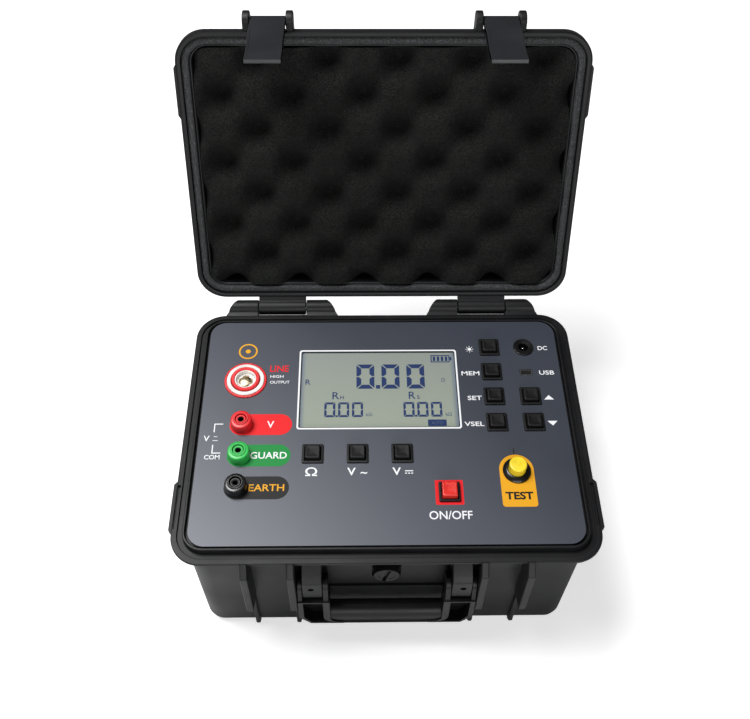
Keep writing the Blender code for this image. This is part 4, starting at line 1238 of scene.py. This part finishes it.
def make_keys():
    """Square keys: a bezel with a well in it and a cap with a shallow dish."""
    top = PANEL_TOP
    bezel = (
        (top - SWITCH_DEPTH, 6.0, 0.6),
        (top + 0.1, 6.0, 0.6),
        (top + 0.1, 7.0, 0.9),
        (top + 0.8, 7.0, 0.9),
        (top + 1.2, 6.8, 0.8),
        (top + 1.3, 6.5, 0.7),
        (top + 1.3, 5.6, 0.7),
        (top + 1.1, 5.35, 0.6),
        (top - 5.0, 5.3, 0.6),
    )
    for key in KEYS:
        node = f"{key}_key_cap"
        middle = centre(node).xy
        body = square_loft(f"{key}_bezel", bezel, middle)
        show(body, "base", "key_moulding", (f"{key}_switch_body",))
        high = span(node)[1].z
        cap = (
            (top - 2.8, 4.95, 0.6),
            (high - 1.0, 4.9, 0.7),
            (high - 0.35, 4.78, 0.8),
            (high, 4.35, 0.8),
            (high - 0.02, 3.9, 0.8),
            (high - 0.22, 2.6, 0.8),
            (high - 0.30, 1.0, 0.5),
        )
        face = square_loft(f"{key}_cap", cap, middle)
        show(face, f"{key}_key", "key_moulding", (node,), smooth_deg=50.0)


def make_power_button():
    """A square bezel and a red cap, dished and a little deeper than it is wide."""
    top = PANEL_TOP
    middle = centre("power_button_cap").xy
    bezel = (
        (top - SWITCH_DEPTH, 5.8, 5.8, 0.6),
        (top + 0.1, 5.8, 5.8, 0.6),
        (top + 0.1, 6.8, 6.8, 0.9),
        (top + 1.5, 6.8, 6.8, 0.9),
        (top + 1.8, 6.7, 6.7, 0.8),
        (top + 1.9, 6.4, 6.4, 0.7),
        (top + 1.9, 5.4, 5.8, 0.6),
        (top + 1.7, 5.2, 5.6, 0.5),
        (top - 6.0, 5.2, 5.4, 0.5),
    )
    body = loft("power_bezel", bezel, 5, middle=middle)
    show(body, "base", "key_moulding", ("power_switch_body",))
    high = span("power_button_cap")[1].z
    cap = (
        (top - 2.6, 4.8, 5.1, 0.5),
        (high - 0.9, 4.8, 5.1, 0.6),
        (high - 0.3, 4.65, 4.95, 0.7),
        (high, 4.3, 4.6, 0.7),
        (high - 0.05, 3.6, 3.9, 0.7),
        (high - 0.25, 1.5, 1.8, 0.5),
    )
    face = loft("power_cap", cap, 5, middle=middle)
    show(face, "power_button", "cap_red", ("power_button_cap",), smooth_deg=50.0)


def on_panel(node):
    """The place of a turned piece: its axis where the CAD node's is, its heights from the panel's face."""
    return (*centre(node).xy, PANEL_TOP)


def make_test_button():
    """A round collar and a domed yellow cap with a rolled edge."""
    place = on_panel("test_button_cap")
    collar = [(6.0, 2.9), (6.3, 3.2), (7.0, 3.1), (8.6, 1.9), (9.0, 1.3), (9.0, 0.1)]
    collar += [(7.5, 0.1), (7.5, -9.5), (3.4, -9.5), (3.4, -8.0), (6.0, -8.0)]
    ring = lathe("test_collar", collar, place, 64)
    show(ring, "base", "socket_black", ("test_button_collar",))
    top = span("test_button_cap")[1].z - PANEL_TOP
    cap = [(0.0, top)] + [(radius, top - 0.012 * radius * radius) for radius in (1.5, 3.0, 4.2)]
    cap += arc(4.65, top - 1.25, 1.0, 80, 0, 6)
    cap += [(5.65, -3.6), (3.3, -3.6), (3.3, 5.3), (0.0, 5.3)]
    dome = lathe("test_cap_dome", cap, place, 64)
    show(dome, "test_cap", "cap_yellow", ("test_button_cap",))


# ---- terminals and sockets


def make_line_terminal():
    """The large terminal: a red flange, a white ring, a red shroud, and a star contact in a pale well."""
    place = on_panel("line_terminal_body")
    flange = [(13.0, 1.1), (13.3, 1.3), (14.0, 1.25), (14.4, 0.8), (14.4, 0.1)]
    flange += [(11.5, 0.1), (11.5, -12.0), (10.0, -12.0), (10.0, 0.6), (13.0, 0.6)]
    insulator = [(10.2, 1.6), (10.4, 1.8), (12.3, 1.8), (12.7, 1.5), (12.8, 0.9), (10.2, 0.9)]
    shroud = [(7.4, 2.6), (7.8, 3.0), (9.2, 3.0), (9.6, 2.7), (9.7, 2.2), (9.7, -12.0)]
    shroud += [(2.4, -12.0), (2.4, -9.0), (7.4, -9.0)]
    for name, node, material, profile in (
        ("line_flange", "line_terminal_body", "socket_red", flange),
        ("line_insulator", "line_terminal_insulator", "terminal_white", insulator),
        ("line_shroud", "line_terminal_shroud", "socket_red", shroud),
    ):
        show(lathe(name, profile, place, 72), "base", material, (node,))
    well = ((6.6, 2.2), (7.3, 2.2), (7.3, -3.0), (2.6, -3.0), (2.6, -1.0), (6.2, -0.6))
    show(lathe("line_well", well, place, 64), "base", "terminal_white")
    bore_shade = [(0.0, 0.9), (2.0, 0.8), (3.8, 0.4), (4.8, -0.3), (4.8, -0.6)]
    bore_shade += [(2.0, -0.7), (2.0, -15.0), (0.0, -15.0)]
    star = lathe("line_star", bore_shade, place)
    for quarter in range(4):
        angle = math.radians(45 + 90 * quarter)
        notch = circle(1.9, beside("line_terminal_body", 5.3 * math.cos(angle), 5.3 * math.sin(angle)), 20)
        cut(star, prism("notch", notch, PANEL_TOP - 3.4, PANEL_TOP + 2.0))
    show(star, "base", "brass", ("line_terminal_contact",))


def make_jacks():
    """Shrouded 4 mm sockets: a post with a raised ring at its mouth, a sleeve in it, and a black lining
    down the bore as painted shade.
    """
    for jack, material in (("volt", "socket_red"), ("guard", "socket_green"), ("earth", "socket_black")):
        node = f"{jack}_jack_body"
        place = on_panel(node)
        top = span(node)[1].z - PANEL_TOP
        post = [(3.85, top - 0.1), (4.0, top), (4.6, top), (4.8, top - 0.3), (5.0, top - 0.9)]
        post += [(6.0, top - 1.0), (6.6, top - 1.3), (6.95, top - 2.0), (7.0, 1.6), (7.15, 0.8)]
        post += [(7.3, 0.1), (5.5, 0.1), (5.5, -18.0), (3.0, -18.0), (3.0, -16.0), (3.85, -15.0)]
        show(lathe(f"{jack}_post", post, place, 64), "base", material, (node,))
        sleeve = [(0.0, -14.0), (2.0, -14.0), (2.0, top - 1.1), (2.3, top - 0.8), (3.0, top - 0.8)]
        sleeve += [(3.4, top - 1.2), (3.5, -14.6), (2.7, -15.6), (2.7, -21.0), (0.0, -21.0)]
        tube = lathe(f"{jack}_sleeve", sleeve, place)
        show(tube, "base", material, (f"{jack}_jack_sleeve",))
        # painted shade: a black lining down the bore darkens the socket's hole
        painted_bore_shade = ((1.7, top - 1.3), (1.95, top - 1.3), (1.95, -13.9), (1.7, -13.9))
        show(lathe(f"{jack}_contact", painted_bore_shade, place, 32), "base", "print_black")


def make_ports():
    """The round charging socket with its pin, and the dark mouth in the data socket."""
    place = on_panel("dc_jack_body")
    body = [(0.0, -9.5), (3.2, -9.5), (3.2, 0.4), (3.5, 0.9), (6.3, 1.3), (6.9, 1.1)]
    body += [(7.1, 0.6), (7.1, 0.1), (5.5, 0.1), (5.5, -11.0), (0.0, -11.0)]
    socket = lathe("charge_socket", body, place, 64)
    show(socket, "base", "socket_black", ("dc_jack_body",))
    pin = ((0.0, -0.1), (0.7, -0.3), (1.05, -0.9), (1.05, -9.2), (0.0, -9.2))
    show(lathe("charge_pin", pin, place, 24), "base", "nickel", ("dc_jack_pin",))
    paint(frame["nodes"]["usb_socket"], "nickel")
    outline = rounded_rectangle(3.6, 1.8, 0.5, centre("usb_socket").xy, 4)
    show(prism("data_mouth", outline, PANEL_TOP - 1.4, PANEL_TOP - 0.6), "base", "key_moulding")


# ---- hidden CAD pieces


def paint_hidden():
    """Pieces that keep their CAD shape get procedural finishes too."""
    finishes = {
        "test_button_stem": "socket_black",
        "display_module": "lcd_cell",
        "battery_pack": "case_moulding",
        "main_board": "print_green",
        "high_voltage_module": "key_moulding",
        "beeper": "key_moulding",
    }
    for pin in ("hinge", "latch", "handle"):
        finishes |= {f"{pin}_pin_left": "steel", f"{pin}_pin_right": "steel"}
    for node, material in finishes.items():
        paint(frame["nodes"][node], material)


# ---- stage, lights, camera


def make_stage():
    """A wide flat sheet of white paper."""
    half = 4.0
    shape = bmesh.new()
    corners = ((-half, -half), (half, -half), (half, half), (-half, half))
    shape.faces.new([shape.verts.new((x, y, 0.0)) for x, y in corners])
    floor = from_bmesh("floor", shape)
    paint(floor, "floor_paper")


def make_light(name, place, target, size, power, size_y=None):
    """An area light, square or size by size_y, turned to shine on target; places in metres."""
    data = bpy.data.lights.new(name, "AREA")
    data.energy = power
    data.size = size
    if size_y:
        data.shape = "RECTANGLE"
        data.size_y = size_y
    light = scene_object(name, data)
    light.location = place
    light.rotation_euler = (Vector(target) - Vector(place)).to_track_quat("-Z", "Y").to_euler()


def make_lights():
    """A soft light overhead, a low wide one in front, and a white world that lights things weakly."""
    make_light("overhead", (-0.50, 0.20, 1.35), (0.0, 0.0, 0.10), 0.75, 25.0)
    make_light("front", (0.10, -1.50, 0.62), (0.0, 0.0, 0.08), 1.4, 15.0, size_y=0.6)
    world = bpy.data.worlds.new("studio")
    world.use_nodes = True
    tree = world.node_tree
    seen = tree.nodes.new("ShaderNodeLightPath").outputs["Is Camera Ray"]
    strength = tree.nodes.new("ShaderNodeMapRange")
    strength.inputs["To Min"].default_value = 0.08
    strength.inputs["To Max"].default_value = 1.0
    tree.links.new(seen, strength.inputs["Value"])
    background = tree.nodes["Background"]
    background.inputs["Color"].default_value = (1.0, 1.0, 1.0, 1.0)
    tree.links.new(strength.outputs["Result"], background.inputs["Strength"])
    bpy.context.scene.world = world
    bpy.context.scene.view_settings.view_transform = "Standard"


def make_camera():
    """Looks down on the panel from in front of the case; the place is in metres, the turns in degrees."""
    focal_share = 1.275  # focal length over the picture's width
    pitch, yaw, roll = 50.82, -1.32, 0.79
    data = bpy.data.cameras.new("camera")
    data.sensor_width = 36.0
    data.lens = focal_share * data.sensor_width
    data.shift_x = 0.001
    data.shift_y = -0.0602
    data.clip_start = 0.01
    camera = scene_object("camera", data)
    place = (-0.01594, -0.34368, 0.65151)
    aim = Matrix.Translation(place)
    for angle, axis in ((yaw, "Z"), (90 - pitch, "X"), (roll, "Z")):
        aim = aim @ Matrix.Rotation(math.radians(angle), 4, axis)
    camera.matrix_world = aim
    bpy.context.scene.camera = camera


# ---- build


make_base()
make_lid()
make_gasket()
make_foam()
make_latches()
make_handle()
make_valve()
make_panel()
make_words()
make_socket_labels()
make_range_bracket()
make_sun_mark()
make_key_marks()
make_patches()
make_display()
make_keys()
make_power_button()
make_test_button()
make_line_terminal()
make_jacks()
make_ports()
paint_hidden()
make_stage()
make_lights()
make_camera()
